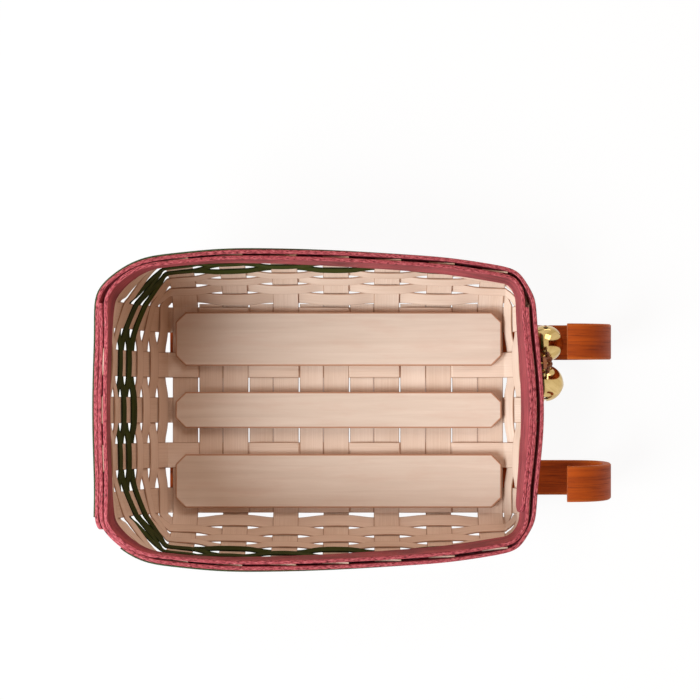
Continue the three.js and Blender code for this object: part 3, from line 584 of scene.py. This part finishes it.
def metal_paint(name, dark, light, roughness, grain):
    """Metal with faint handling marks of size grain."""
    paint = Paint(name, Metallic=1.0)
    cloud = paint.noise(paint.along(grain, grain, 1.3), detail=4, roughness=0.6)
    speck = paint.noise(paint.along(grain / 8, grain / 8, 5.9), detail=2)
    base = paint.ramp(cloud, (0.3, dark), (0.7, light))
    final = paint.mix(paint.fit(speck, 0.68, 0.8, 0, 0.5), base, tuple(0.3 * c for c in dark))
    rough = paint.fit(cloud, 0.2, 0.8, roughness - 0.04, roughness + 0.08)
    return paint.finish(final, rough, speck, 0.05, 0.0001)


def leather_paint(name):
    """Oiled brown lace leather with a pebbled grain."""
    paint = Paint(name)
    pebble = paint.node(
        "ShaderNodeTexVoronoi", {"Vector": paint.along(0.0006, 0.0006), "Scale": 1.0}
    ).outputs["Distance"]
    cloud = paint.noise(paint.along(0.006, 0.004, 2.6), detail=3)
    base = paint.ramp(cloud, (0.3, (0.16, 0.045, 0.012)), (0.7, (0.36, 0.115, 0.036)))
    final = paint.mix(paint.fit(pebble, 0.4, 0.8, 0, 0.5), base, (0.06, 0.02, 0.008))
    return paint.finish(final, paint.fit(cloud, 0.2, 0.8, 0.45, 0.65), pebble, 0.4, 0.0002)


PAINTS = {
    "splint": splint_paint(
        "maple_splint",
        dark=(0.63, 0.46, 0.35),
        light=(0.78, 0.62, 0.51),
        edge_and_shade_colour=(0.32, 0.16, 0.09),
        roughness=0.65,
        shine=0.25,
    ),
    "green_splint": splint_paint(
        "green_splint",
        dark=(0.012, 0.015, 0.002),
        light=(0.042, 0.058, 0.006),
        edge_and_shade_colour=(0.008, 0.010, 0.002),
        roughness=0.6,
        shine=0.08,
    ),
    "board": board_paint("maple_board"),
    "rim": rim_paint("burgundy_band", (0.15, 0.018, 0.027), (0.42, 0.066, 0.084), (0.60, 0.18, 0.20)),
    "trim": rim_paint("green_trim", (0.015, 0.028, 0.007), (0.04, 0.065, 0.02), (0.08, 0.11, 0.05)),
    "runner": runner_paint("stained_runner"),
    "bell_brass": metal_paint("polished_brass", (0.46, 0.30, 0.095), (0.73, 0.52, 0.23), 0.10, 0.006),
    "tack_brass": metal_paint("tack_brass", (0.35, 0.22, 0.07), (0.55, 0.38, 0.14), 0.28, 0.003),
    "screw_steel": metal_paint("screw_steel", (0.40, 0.40, 0.39), (0.62, 0.62, 0.61), 0.32, 0.003),
    "pellet_steel": metal_paint("pellet_steel", (0.30, 0.30, 0.29), (0.50, 0.50, 0.49), 0.40, 0.003),
    "leather": leather_paint("lace_leather"),
}


def dress(piece, node):
    """Gives a piece the finish, the body and the place of the node that it stands for."""
    piece.data.materials.clear()
    piece.data.materials.append(PAINTS[SLOT_OF[node]])
    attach(piece, BODY_OF[node])
    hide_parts(node)


# Walls
def flare(profile, h):
    return profile["reach"] * (1 - math.exp(-h / profile["rise"]))


def flare_slope(profile, h):
    return profile["reach"] / profile["rise"] * math.exp(-h / profile["rise"])


def smoothstep(value, low, high):
    t = np.clip((value - low) / (high - low), 0, 1)
    return t * t * (3 - 2 * t)


def draw_in(p):
    """Place on the wall after the long walls and the back are drawn in towards the corners."""
    lengthwise = smoothstep(abs(p[0]), CORNER_X + DRAW_PAST_X - DRAW_LENGTH, CORNER_X + DRAW_PAST_X)
    crosswise = smoothstep(abs(p[1]), CORNER_Y + DRAW_PAST_Y - DRAW_WIDTH, CORNER_Y + DRAW_PAST_Y)
    height = 1 - math.exp(-p[2] / SIDE["rise"])
    inward = CORNER_DRAW * lengthwise * crosswise * height
    beside = smoothstep(abs(p[1]), *BACK_DRAW_Y) * smoothstep(-p[0], *BACK_DRAW_X)
    forward = BACK_DRAW * beside * math.sin(math.pi * np.clip(p[2] / BACK_DRAW_TOP, 0, 1))
    return p + [forward, -np.sign(p[1]) * inward, 0]


def drawn_way(p, way):
    return unit(draw_in(p + DRAW_PROBE * way) - draw_in(p - DRAW_PROBE * way))


def wall_frame(foot, h):
    """Place on the wall above a foot (x, y, ex, ey), and the ways along, up and out there."""
    x, y, ex, ey = foot
    end = FRONT if ex > 0 else BACK
    reach = CORNER_X if ey else CORNER_Y
    share = (x if ey else y) / reach
    left = max(1 - share * share, 0) if ex == 0 or ey == 0 else 0
    bow = (SIDE if ey else end)["bow"]
    rate = bow * left * left
    turn = -4 * bow * left * share / reach
    end_flare = flare(end, h) + rate * h
    side_flare = flare(SIDE, h) + rate * h
    p = np.array([x + ex * end_flare, y + ey * side_flare, h])
    up = unit(np.array([ex * (flare_slope(end, h) + rate), ey * (flare_slope(SIDE, h) + rate), 1.0]))
    along = unit(np.array([-ey * (CORNER_GAP + end_flare), ex * (CORNER_GAP + side_flare), 0.0]))
    along[0] += ex * turn * h * along[1]
    along[1] += ey * turn * h * along[0]
    along, up = drawn_way(p, unit(along)), drawn_way(p, up)
    return draw_in(p) + BASKET_ORIGIN, along, up, unit(np.cross(along, up))


def row_frame(foot, h):
    """Place, ways along, up and out, and width of a row that lies flat on the wall above a foot."""
    low = wall_frame(foot, h - ROW_PITCH / 2)[0]
    high = wall_frame(foot, h + ROW_PITCH / 2)[0]
    along = wall_frame(foot, h)[1]
    up = unit(high - low)
    width = np.linalg.norm(high - low) - ROW_GAP
    return (low + high) / 2, along, up, unit(np.cross(along, up)), width


def rim_top(x, ex=0.0):
    half = HALF_LENGTH + CORNER_SWEEP
    share = np.clip((x + ex * CORNER_SWEEP + half) / (2 * half), 0, 1)
    return BACK_RIM_HEIGHT - (BACK_RIM_HEIGHT - FRONT_RIM_HEIGHT) * share**RIM_SWEEP


def corner_foot(angle):
    ex, ey = math.cos(angle), math.sin(angle)
    x = math.copysign(CORNER_X, ex) + CORNER_GAP * ex
    y = math.copysign(CORNER_Y, ey) + CORNER_GAP * ey
    return x, y, ex, ey


def spread(count, pitch):
    return [(k - (count - 1) / 2) * pitch for k in range(count)]


LONG_Y = spread(LONG_STAKE_COUNT, LONG_PITCH)
CROSS_X = [
    x + FRONT_SPREAD * max(number - SPREAD_AFTER, 0)
    for number, x in enumerate(spread(CROSS_STAKE_COUNT, CROSS_PITCH), 1)
]
FILLER_WIDTHS = [b - a - STAKE_WIDTH - FILLER_GAP - FILLER_SLIT for a, b in zip(CROSS_X, CROSS_X[1:])]
STAKE_FEET = (
    [(HALF_LENGTH, y, 1, 0) for y in LONG_Y]
    + [(x, HALF_WIDTH, 0, 1) for x in reversed(CROSS_X)]
    + [(-HALF_LENGTH, y, -1, 0) for y in reversed(LONG_Y)]
    + [(x, -HALF_WIDTH, 0, -1) for x in CROSS_X]
)


# Weavers
def row_reaches(row, foot):
    """Whether a row runs as far as the stake at foot: the rows behind the swept rim end one by one."""
    x, _, ex, _ = foot
    if row <= FULL_ROWS or ex < 0:
        return True
    return ex == 0 and CROSS_X.index(x) < ROW_COUNT - row


def station(p, up, out, width):
    return np.concatenate([p, up, out, [width]])


def weaver_points(row):
    """Stations (place, ways up and out, width) that a row passes through, and whether it closes."""
    h = FIRST_ROW_HEIGHT + (row - 0.5) * ROW_PITCH
    reach = STAKE_WIDTH / 2 + WEAVER_LEAD
    points = []
    for i, foot in enumerate(STAKE_FEET):
        if not row_reaches(row, foot):
            continue
        p, along, up, out, width = row_frame(foot, h)
        lift = -WEAVER_LIFT if (i + row) % 2 else WEAVER_LIFT
        for shift in (-reach, reach):
            points.append(station(p + along * shift + out * lift, up, out, width))
        following = STAKE_FEET[(i + 1) % len(STAKE_FEET)]
        if following[2] == foot[2] or not row_reaches(row, following):
            continue
        band_foot = min(rim_top(foot[0], foot[2]), rim_top(following[0], following[2])) - BAND_WIDTH
        fullness = np.clip((h + ROW_PITCH / 2 - band_foot) / CORNER_FILL + 1, 0, 1)
        p, along, up, out, width = row_frame(following, h)
        near = points[-1]
        far = station(p - along * reach - out * lift, up, out, width)
        start = math.atan2(foot[3], foot[2])
        for k in range(1, WEAVER_CORNER_STEPS):
            share = k / WEAVER_CORNER_STEPS
            p, _, up, out, width = row_frame(corner_foot(start + share * math.pi / 2), h)
            full = station(p + out * lift * (1 - 2 * share), up, out, width)
            straight = near + share * (far - near)
            points.append(straight + fullness * (full - straight))
    return points, row <= FULL_ROWS


def make_weaver(row):
    points, closed = weaver_points(row)
    path = smooth_path(points, WEAVER_SPACING, closed)
    places, up, out = path[:, :3], unit(path[:, 3:6]), unit(path[:, 6:9])
    places = places + up * WEAVER_WOBBLE * wobble(len(places), WEAVER_SEED + row, WEAVER_WAVES)[:, None]
    name = f"weaver_{row}_green" if row in GREEN_ROWS else f"weaver_{row}"
    size = (ROW_PITCH, WEAVER_THICKNESS)
    taper = path[:, 9] / ROW_PITCH
    dress(strip(f"fine_{name}", places, up, out, size, closed, taper, WEAVER_GRAIN * row), name)


# Stakes and fillers
def eased(points, radius, steps=4):
    """Flat outline with each inner corner rounded."""
    result = [points[0]]
    for before, corner, after in zip(points, points[1:], points[2:]):
        a, b = unit(before - corner), unit(after - corner)
        half = math.acos(np.clip(np.dot(a, b), -1, 1)) / 2
        setback = radius / math.tan(half)
        for t in np.linspace(0, 1, steps):
            result.append(corner + setback * (a * (1 - t) ** 2 + b * t * t))
    return result + [points[-1]]


def make_stake(name, floor, feet, tops, flat_axis, level, seed):
    """Stake that comes down one wall, crosses the floor through floor's places and goes up the other."""
    walls = []
    for foot, top in zip(feet, tops):
        heights = np.linspace(FIRST_ROW_HEIGHT, top, STAKE_STEPS)
        walls.append([wall_frame(foot, h) for h in heights])
    low, high = (np.array([wall[0][0][flat_axis], wall[0][0][2]]) for wall in walls)

    def foot_point(lowest, edge, z):
        slope = (lowest[0] - edge) / (lowest[1] - FLOOR_Z)
        return np.array([edge + slope * (z - FLOOR_Z), z])

    edges = [foot[flat_axis] + BASKET_ORIGIN[flat_axis] for foot in feet]
    first = foot_point(low, edges[0], floor[0][1])
    last = foot_point(high, edges[1], floor[-1][1])
    bend_low = eased([low, first, floor[0]], BEND_RADIUS)[1:-1]
    bend_high = eased([floor[-1], last, high], BEND_RADIUS)[1:-1]
    middle = bend_low + floor + bend_high
    rows = []
    across = np.zeros(3)
    across[1 - flat_axis] = 1
    for p, along, _, _ in reversed(walls[0]):
        rows.append(np.concatenate([p, along * np.sign(np.dot(along, across))]))
    for point in middle:
        p = np.zeros(3)
        p[flat_axis], p[2] = point
        p[1 - flat_axis] = level
        rows.append(np.concatenate([p, across]))
    for p, along, _, _ in walls[1]:
        rows.append(np.concatenate([p, along * np.sign(np.dot(along, across))]))
    path = smooth_path(rows, STAKE_SPACING)
    places, wide = path[:, :3], unit(path[:, 3:6])
    out = unit(np.cross(wide, np.gradient(places, axis=0)))
    size = (STAKE_WIDTH, STAKE_THICKNESS)
    dress(strip(f"fine_{name}", places, wide, out, size, shift=STAKE_GRAIN * seed), name)


def make_cross_stake(x, number):
    top = rim_top(x + STAKE_WIDTH / 2) - STAKE_TOP_INSET
    floor = [np.array([y, FLOOR_Z]) for y in (-CORNER_Y, CORNER_Y)]
    feet = [(x, side * HALF_WIDTH, 0, side) for side in (-1, 1)]
    make_stake(f"cross_stake_{number}", floor, feet, [top, top], 1, x + MIDDLE_X, number)


def make_long_stake(y, number):
    floor = []
    for pair, x in enumerate(CROSS_X):
        start = x - STAKE_WIDTH / 2 - (FILLER_GAP + FILLER_WIDTHS[pair - 1] if pair else 0)
        z = FLOOR_Z + (-FLOOR_LIFT if (pair + number) % 2 else FLOOR_LIFT)
        floor.append(np.array([start + BEND_OVERLAP + MIDDLE_X, z]))
        floor.append(np.array([x + STAKE_WIDTH / 2 - BEND_OVERLAP + MIDDLE_X, z]))
    feet = [(end * HALF_LENGTH, y, end, 0) for end in (-1, 1)]
    tops = [BACK_RIM_HEIGHT - STAKE_TOP_INSET, FRONT_RIM_HEIGHT - FRONT_TOP_INSET]
    make_stake(f"long_stake_{number}", floor, feet, tops, 0, y, LONG_STAKE_SEED + number)


def make_filler(x, number):
    """Floor splint behind the cross stake at x."""
    width = FILLER_WIDTHS[number - 1]
    ys = np.linspace(FILLER_INSET - HALF_WIDTH, HALF_WIDTH + FILLER_PAST, FILLER_STEPS)
    places = np.zeros((len(ys), 3))
    places[:, 0] = x - (STAKE_WIDTH + width) / 2 - FILLER_GAP + MIDDLE_X
    places[:, 1] = ys
    places[:, 2] = FLOOR_Z
    across = np.tile([1.0, 0, 0], (len(ys), 1))
    out = np.tile([0, 0, 1.0], (len(ys), 1))
    name = f"floor_filler_{number}"
    size = (width, STAKE_THICKNESS)
    grain = FILLER_GRAIN * number + FIRST_FILLER_GRAIN
    dress(strip(f"fine_{name}", places, across, out, size, shift=grain), name)


# Rim
def rim_plan():
    """Feet of the rim's stations, anticlockwise from the front wall."""
    plan = []

    def straight(x, y, steps, ex, ey):
        for k in range(steps):
            share = 1 - 2 * k / steps
            plan.append((x if ex else x * share, y if ey else y * share, ex, ey))

    def corner(start):
        for k in range(CORNER_STEPS):
            plan.append(corner_foot(start + (k + CORNER_NUDGE) / CORNER_STEPS * math.pi / 2))

    straight(HALF_LENGTH, -CORNER_Y, SHORT_STEPS, 1, 0)
    corner(0)
    straight(CORNER_X, HALF_WIDTH, LONG_STEPS, 0, 1)
    corner(math.pi / 2)
    straight(-HALF_LENGTH, CORNER_Y, SHORT_STEPS, -1, 0)
    corner(math.pi)
    straight(-CORNER_X, -HALF_WIDTH, LONG_STEPS, 0, -1)
    corner(-math.pi / 2)
    return plan


def evened(rows, passes=10):
    """Rows of numbers with the small turns between neighbours smoothed out."""
    for _ in range(passes):
        rows[1:-1] = (rows[:-2] + 2 * rows[1:-1] + rows[2:]) / 4
    return rows


def band_path(plan, side, lap_past):
    """A band once round the rim and lapped over its own start, with the ways across, out and along."""
    count = len(plan)
    places, out = [], []
    for i in range(count + SHORT_STEPS + lap_past):
        foot = plan[i % count]
        p, _, _, outward = wall_frame(foot, rim_top(foot[0], foot[2]) - BAND_WIDTH / 2)
        lap = smoothstep(i, count - CORNER_STEPS, count - 1)
        pinch = 1 - CORNER_PINCH * (2 * foot[2] * foot[3]) ** 2
        lift = BAND_LIFT + BAND_OPENING * (p[0] - MIDDLE_X) / HALF_LENGTH
        places.append(p + outward * side * (lift * pinch + lap * BAND_STEP))
        out.append(outward)
    places, out = evened(np.array(places)), unit(evened(np.array(out)))
    along = unit(np.gradient(places, axis=0))
    across = unit(np.cross(out, along))
    across *= np.sign(across[:, 2:3])
    return places, across, out, along


def round_end(path, width, steps=10):
    """The path with a round tip, and how much narrower each station is."""
    places, across, out, along = path
    angles = np.linspace(0, TIP_ANGLE, steps)[1:]
    tip = places[-1] + along[-1] * (width / 2) * np.sin(angles)[:, None]
    taper = np.concatenate([np.ones(len(places)), np.cos(angles)])
    longer = [np.vstack([rows, np.tile(rows[-1], (steps - 1, 1))]) for rows in (across, out)]
    return np.vstack([places, tip]), longer[0], longer[1], taper


def make_rim():
    plan = rim_plan()
    back_start = SHORT_STEPS + 2 * CORNER_STEPS + LONG_STEPS
    front_start = SHORT_STEPS + 1
    outer = band_path(plan[back_start:] + plan[:back_start], 1, OUTER_LAP)
    inner = band_path((plan[front_start:] + plan[:front_start])[::-1], -1, INNER_LAP)
    for name, path, seed in (("outer_band", outer, 3), ("inner_band", inner, 4)):
        places, across, out, taper = round_end(path, BAND_WIDTH)
        places = places + across * BAND_WOBBLE * wobble(len(places), seed, BAND_WAVES)[:, None]
        if name == "inner_band":
            loss = INNER_TAPER * smoothstep(MIDDLE_X - places[:, 0], *INNER_TAPER_X)
            places = places + across * (loss * BAND_WIDTH / 2)[:, None]
            taper = taper * (1 - loss)
        size = (BAND_WIDTH, BAND_THICKNESS)
        piece = strip(f"fine_{name}", places, across, out, size, False, taper, seed, BAND_ROUND)
        dress(piece, name)
    places, across, out, _ = (rows[SHORT_STEPS + TRIM_START:] for rows in outer)
    size = (TRIM_WIDTH, TRIM_THICKNESS)
    rise = TRIM_RISE * smoothstep(MIDDLE_X - places[:, 0], *TRIM_RISE_X)
    places = places + out * (TRIM_LIFT - BAND_LIFT) + across * rise[:, None]
    dress(strip("fine_trim_strip", places, across, out, size, shift=TRIM_GRAIN), "trim_strip")


# Boards and runners
def make_board(node, grain):
    """Sanded board with cut corners and rounded edges, as large as the node that it stands for."""
    low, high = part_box(node)
    middle = (low + high) / 2
    layers = []
    for angle in np.linspace(0, QUARTER, BOARD_ROUND_STEPS):
        inset = BOARD_ROUND * (1 - math.sin(angle))
        layers.append((inset, low.z + BOARD_ROUND * (1 - math.cos(angle))))
    layers.insert(0, (BOARD_ROUND + BOARD_LINE, low.z))
    layers += [(inset, low.z + high.z - z) for inset, z in reversed(layers)]
    rings = []
    for inset, z in layers:
        half_x, half_y = high.x - middle.x - inset, high.y - middle.y - inset
        cut = BOARD_CORNER_CUT - inset * (2 - math.sqrt(2))
        quarter = [(half_x, half_y - cut), (half_x - cut, half_y)]
        outline = quarter + [(-x, y) for x, y in reversed(quarter)]
        outline += [(-x, -y) for x, y in outline]
        rings.append([(middle.x + x, middle.y + y, z) for x, y in outline])
    corners = len(rings[0])
    piece = loft(f"fine_{node}", rings, np.zeros(corners))
    # The rounded layers carry the painted shade along the board's edges.
    line = np.array([0 < i < len(layers) - 1 for i in range(len(layers))], np.float32)
    piece.data.attributes["edge"].data.foreach_set("value", np.repeat(line, corners))
    coordinates = np.array([v.co for v in piece.data.vertices])
    x, y, z = coordinates[[loop.vertex_index for loop in piece.data.loops]].T
    uv = np.stack([x + grain, y + z], axis=1)
    piece.data.uv_layers[0].data.foreach_set("uv", uv.astype(np.float32).ravel())
    dress(piece, node)


def make_runner(node, grain, skew):
    """Bentwood strip, flat under the basket and curled up and back in front, its curl a little askew."""
    low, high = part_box(node)
    half = RUNNER_THICKNESS / 2
    curl_x = high.x - CURL_RADIUS
    y = (low.y + high.y) / 2
    radius = CURL_RADIUS - half
    outline = [(x, half) for x in np.linspace(low.x, curl_x, RUNNER_STEPS, endpoint=False)]
    for angle in np.linspace(0, math.pi, CURL_STEPS):
        outline.append((curl_x + radius * math.sin(angle), CURL_RADIUS - radius * math.cos(angle)))
    rise = smoothstep(np.array(outline)[:, 1], RUNNER_THICKNESS, 2 * CURL_RADIUS)
    places = np.array([(x, y + skew * share, z) for (x, z), share in zip(outline, rise)])
    across = np.tile([0, 1.0, 0], (len(places), 1))
    out = unit(np.cross(across, np.gradient(places, axis=0)))
    size = (high.y - low.y, RUNNER_THICKNESS)
    dress(strip(f"fine_{node}", places, across, out, size, shift=grain, rounding=RUNNER_ROUND), node)


def make_screw(node):
    low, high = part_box(node)
    middle = (low + high) / 2
    head = (high.x - low.x) / 2
    shank = SCREW_SHANK * head
    height = high.z - low.z
    profile = [(0, 0), (head * SCREW_FLAT, 0), (head, SCREW_EDGE)]
    profile += [(shank, SCREW_CONE), (shank, height - shank), (0, height)]
    piece = lathe(f"fine_{node}", profile, SCREW_SIDES)
    place(piece, Matrix.Translation((middle.x, middle.y, low.z)))
    dress(piece, node)


# Bells
def arc(radius, low, high, steps):
    return [(radius * math.cos(a), radius * math.sin(a)) for a in np.linspace(low, high, steps)]


def prism(name, outline, low, high):
    """Cutter with a flat outline in X and Y."""
    rings = [[(x, y, z) for x, y in outline] for z in (low, high)]
    return loft(name, rings, np.zeros(len(outline)))


def bell_cap(name):
    """Upper half of the shell, with a rolled seam and a small boss under the ring."""
    inner = BELL_RADIUS - BELL_WALL
    profile = [(0, inner)] + arc(inner, QUARTER - LINING_POLE_ANGLE, 0, LINING_STEPS)
    profile += [(BELL_RADIUS + past, height) for past, height in BELL_SEAM]
    profile += arc(BELL_RADIUS, CAP_SEAM_ANGLE, QUARTER - CAP_POLE_ANGLE, SHELL_STEPS)
    profile += [(radius, BELL_RADIUS + past) for radius, past in BELL_BOSS]
    return lathe(name, profile, BELL_SIDES)


def bell_cup(name):
    """Lower half of the shell, with two crossed slots that widen into a small triangle at each end."""
    inner = BELL_RADIUS - BELL_WALL
    profile = [(0, -inner)] + arc(inner, LINING_POLE_ANGLE - QUARTER, 0, LINING_STEPS)
    profile += arc(BELL_RADIUS, -CUP_SEAM_ANGLE, CUP_POLE_ANGLE - QUARTER, SHELL_STEPS)
    cup = lathe(name, profile + [(0, -BELL_RADIUS)], BELL_SIDES)
    cutters = []
    half = BELL_SLOT / 2
    for k in range(2):
        reach = BELL_RADIUS * math.sin(BELL_HOLE_ANGLES[1 - k])
        slot = [(-reach, -half), (reach, -half), (reach, half), (-reach, half)]
        cutter = prism("slot", slot, *SLOT_DEPTHS)
        cutters.append(place(cutter, Matrix.Rotation(k * QUARTER, 4, "Z")))
    for k in range(4):
        cutter = prism("slot_end", SLOT_END, *SLOT_END_DEPTHS)
        lean = Matrix.Rotation(math.pi - BELL_HOLE_ANGLES[k % 2], 4, "X")
        cutters.append(place(cutter, Matrix.Rotation(k * QUARTER, 4, "Z") @ lean))
    return carve(cup, cutters)


def make_bell(number, side):
    """Bell, ring and thong, on the knot's left where side is 1 and on its right where it is -1."""
    low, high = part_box(f"bell_{number}_pellet")
    centre = (low + high) / 2 + Vector((0, 0, BELL_DROP))
    stand = Matrix.Translation(centre) @ Matrix.Rotation(side * BELL_TILT, 4, "X")
    dress(place(bell_cap(f"fine_bell_{number}_cap"), stand), f"bell_{number}_cap")
    dress(place(bell_cup(f"fine_bell_{number}_cup"), stand), f"bell_{number}_cup")
    turns = np.linspace(0, 2 * np.pi, RING_STEPS, endpoint=False)
    heights = RING_REACH + RING_RADIUS * np.sin(turns)
    circle = np.stack([RING_RADIUS * np.cos(turns), 0 * turns, heights], axis=1)
    ring = tube(f"fine_bell_{number}_ring", circle, RING_WIRE, closed=True)
    dress(place(ring, stand), f"bell_{number}_ring")
    knot_low, knot_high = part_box("bell_knot")
    knot = np.array((knot_low + knot_high) / 2)
    lean = np.array([0, -side * math.sin(BELL_TILT), math.cos(BELL_TILT)])
    through = np.array([0, side * math.cos(BELL_TILT), math.sin(BELL_TILT)])
    seat = np.array(centre) + lean * (RING_REACH + RING_SEAT)
    start = knot + [0, side * (knot_high.y - knot_low.y) / 2, 0]
    route = [start, start + [0, side * 2 * THONG_RADIUS, 0]]
    route += [seat + THONG_LEAD * through, seat, seat - THONG_TAIL * through]
    thong = tube(f"fine_bell_{number}_thong", smooth_path(route, THONG_SPACING), THONG_RADIUS)
    dress(thong, f"bell_{number}_thong")


def make_knot():
    """Overhand knot tied in the lace."""
    low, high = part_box("bell_knot")
    middle, size = np.array((low + high) / 2), np.array(high - low)
    t = np.linspace(0, 2 * np.pi, KNOT_STEPS, endpoint=False)
    loops = [np.sin(3 * t), np.sin(t) + 2 * np.sin(2 * t), np.cos(t) - 2 * np.cos(2 * t)]
    knot = np.stack(loops, axis=1)
    knot = knot / np.abs(knot).max(axis=0) * (size / 2 - THONG_RADIUS)
    dress(tube("fine_bell_knot", middle + knot, KNOT_RADIUS, closed=True), "bell_knot")


def make_tab():
    """Leather tab on the outside of the rim, with rounded ends."""
    node = frame["nodes"]["bell_tab"]
    corners = np.array([v.co for v in node.data.vertices])
    middle = corners.mean(axis=0)
    foot = (HALF_LENGTH, middle[1], 1, 0)
    _, along, up, out = wall_frame(foot, middle[2] - FLOOR_Z)
    width, length, thickness = (np.ptp((corners - middle) @ axis) for axis in (along, up, out))
    half, end = length / 2, width / 3
    heights = half * np.sin(np.linspace(-1, 1, TAB_STEPS) * math.pi / 2)
    past = np.maximum(np.abs(heights) - (half - end), 0) / end
    taper = np.sqrt(np.clip(1 - TAB_NARROWING * past**2, TAB_TIP, 1))
    low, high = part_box("bell_tab")
    places = np.array((low + high) / 2) + up * heights[:, None]
    across, outward = np.tile(along, (TAB_STEPS, 1)), np.tile(out, (TAB_STEPS, 1))
    size = (width, thickness)
    tab = strip("fine_bell_tab", places, across, outward, size, taper=taper, rounding=TAB_ROUND)
    dress(tab, "bell_tab")


# Stage, light and camera
def seen_directly(tree):
    """1 for rays from the camera, a shine or clear glass, and 0 for those that only carry light."""
    path = tree.nodes.new("ShaderNodeLightPath")
    seen = path.outputs["Is Camera Ray"]
    for ray in ("Is Glossy Ray", "Is Transmission Ray"):
        either = tree.nodes.new("ShaderNodeMath")
        either.operation = "MAXIMUM"
        tree.links.new(seen, either.inputs[0])
        tree.links.new(path.outputs[ray], either.inputs[1])
        seen = either.outputs[0]
    return seen


def make_stage():
    """Pale floor that looks nearly white and keeps a little of the basket's shadow."""
    outline = ((-1, -1), (1, -1), (1, 1), (-1, 1))
    corners = [(STAGE_HALF * x, STAGE_HALF * y, -STAGE_DROP) for x, y in outline]
    floor = new_object("floor", corners, [[0, 1, 2, 3]], [(0, 0), (1, 0), (1, 1), (0, 1)], [0] * 4)
    paint = Paint("pale_floor", Roughness=0.9, Base_Color=STAGE_COLOUR)
    seen = seen_directly(paint.tree)
    share = paint.node("ShaderNodeMath", {0: seen, 1: STAGE_GLOW}, operation="MULTIPLY").outputs[0]
    glow = paint.node("ShaderNodeEmission", {"Color": WHITE, "Strength": 1.0})
    mixed = paint.node("ShaderNodeMixShader", {0: share, 1: paint.shader.outputs[0], 2: glow.outputs[0]})
    paint.tree.links.new(mixed.outputs[0], paint.tree.nodes["Material Output"].inputs["Surface"])
    floor.data.materials.append(paint.material)


def make_world():
    """Warm dim room beside the lamps, white where the camera, a shine or clear glass sees it."""
    world = bpy.data.worlds.new("studio")
    bpy.context.scene.world = world
    world.use_nodes = True
    tree = world.node_tree
    room = tree.nodes["Background"]
    room.inputs["Color"].default_value = ROOM_COLOUR
    room.inputs["Strength"].default_value = ROOM_STRENGTH
    white = tree.nodes.new("ShaderNodeBackground")
    white.inputs["Color"].default_value = WHITE
    both = tree.nodes.new("ShaderNodeMixShader")
    tree.links.new(seen_directly(tree), both.inputs[0])
    tree.links.new(room.outputs[0], both.inputs[1])
    tree.links.new(white.outputs[0], both.inputs[2])
    tree.links.new(both.outputs[0], tree.nodes["World Output"].inputs["Surface"])


def area_light(name, spot, size, power, colour):
    light = bpy.data.lights.new(name, "AREA")
    light.color = colour
    light.size = size
    light.energy = power
    lamp = bpy.data.objects.new(name, light)
    lamp.location = spot
    lamp.rotation_euler = (Vector(LIGHT_TARGET) - Vector(spot)).to_track_quat("-Z", "Y").to_euler()
    bpy.context.scene.collection.objects.link(lamp)


def make_camera():
    """Camera straight above the basket, shifted to the photograph's framing."""
    camera = bpy.data.cameras.new("camera")
    camera.lens = LENS
    camera.sensor_width = SENSOR
    camera.shift_y = CAMERA_SHIFT
    eye = bpy.data.objects.new("camera", camera)
    eye.location = (MIDDLE_X + CAMERA_FORWARD, 0.0, FLOOR_Z + CAMERA_HEIGHT)
    bpy.context.scene.collection.objects.link(eye)
    bpy.context.scene.camera = eye


# Assembly
for row_number in range(1, ROW_COUNT + 1):
    make_weaver(row_number)
for count, cross_x in enumerate(CROSS_X, 1):
    make_cross_stake(cross_x, count)
for count, long_y in enumerate(LONG_Y, 1):
    make_long_stake(long_y, count)
for count, cross_x in enumerate(CROSS_X[1:], 1):
    make_filler(cross_x, count)
make_rim()
for k, board_node in enumerate(("left_board", "middle_board", "right_board")):
    make_board(board_node, BOARD_GRAIN * k)
for k, side_name in enumerate(("left", "right")):
    make_runner(f"{side_name}_runner", RUNNER_GRAIN * k, CURL_SKEWS[k])
    for screw in range(1, RUNNER_SCREWS + 1):
        make_screw(f"{side_name}_screw_{screw}")
make_bell(1, 1)
make_bell(2, -1)
make_knot()
make_tab()
for node_name in ("bell_tab_tack", "bell_1_pellet", "bell_2_pellet"):
    kept = frame["nodes"][node_name]
    kept.data.materials.clear()
    kept.data.materials.append(PAINTS[SLOT_OF[node_name]])

make_stage()
make_world()
area_light("key", spot=(-1.58, -1.0, 1.65), size=1.4, power=91, colour=(0.86, 0.95, 1.0))
area_light("fill", spot=(0.6, 1.45, 1.6), size=1.2, power=17, colour=(1.0, 0.93, 0.86))
make_camera()
bpy.context.scene.view_settings.view_transform = "Standard"
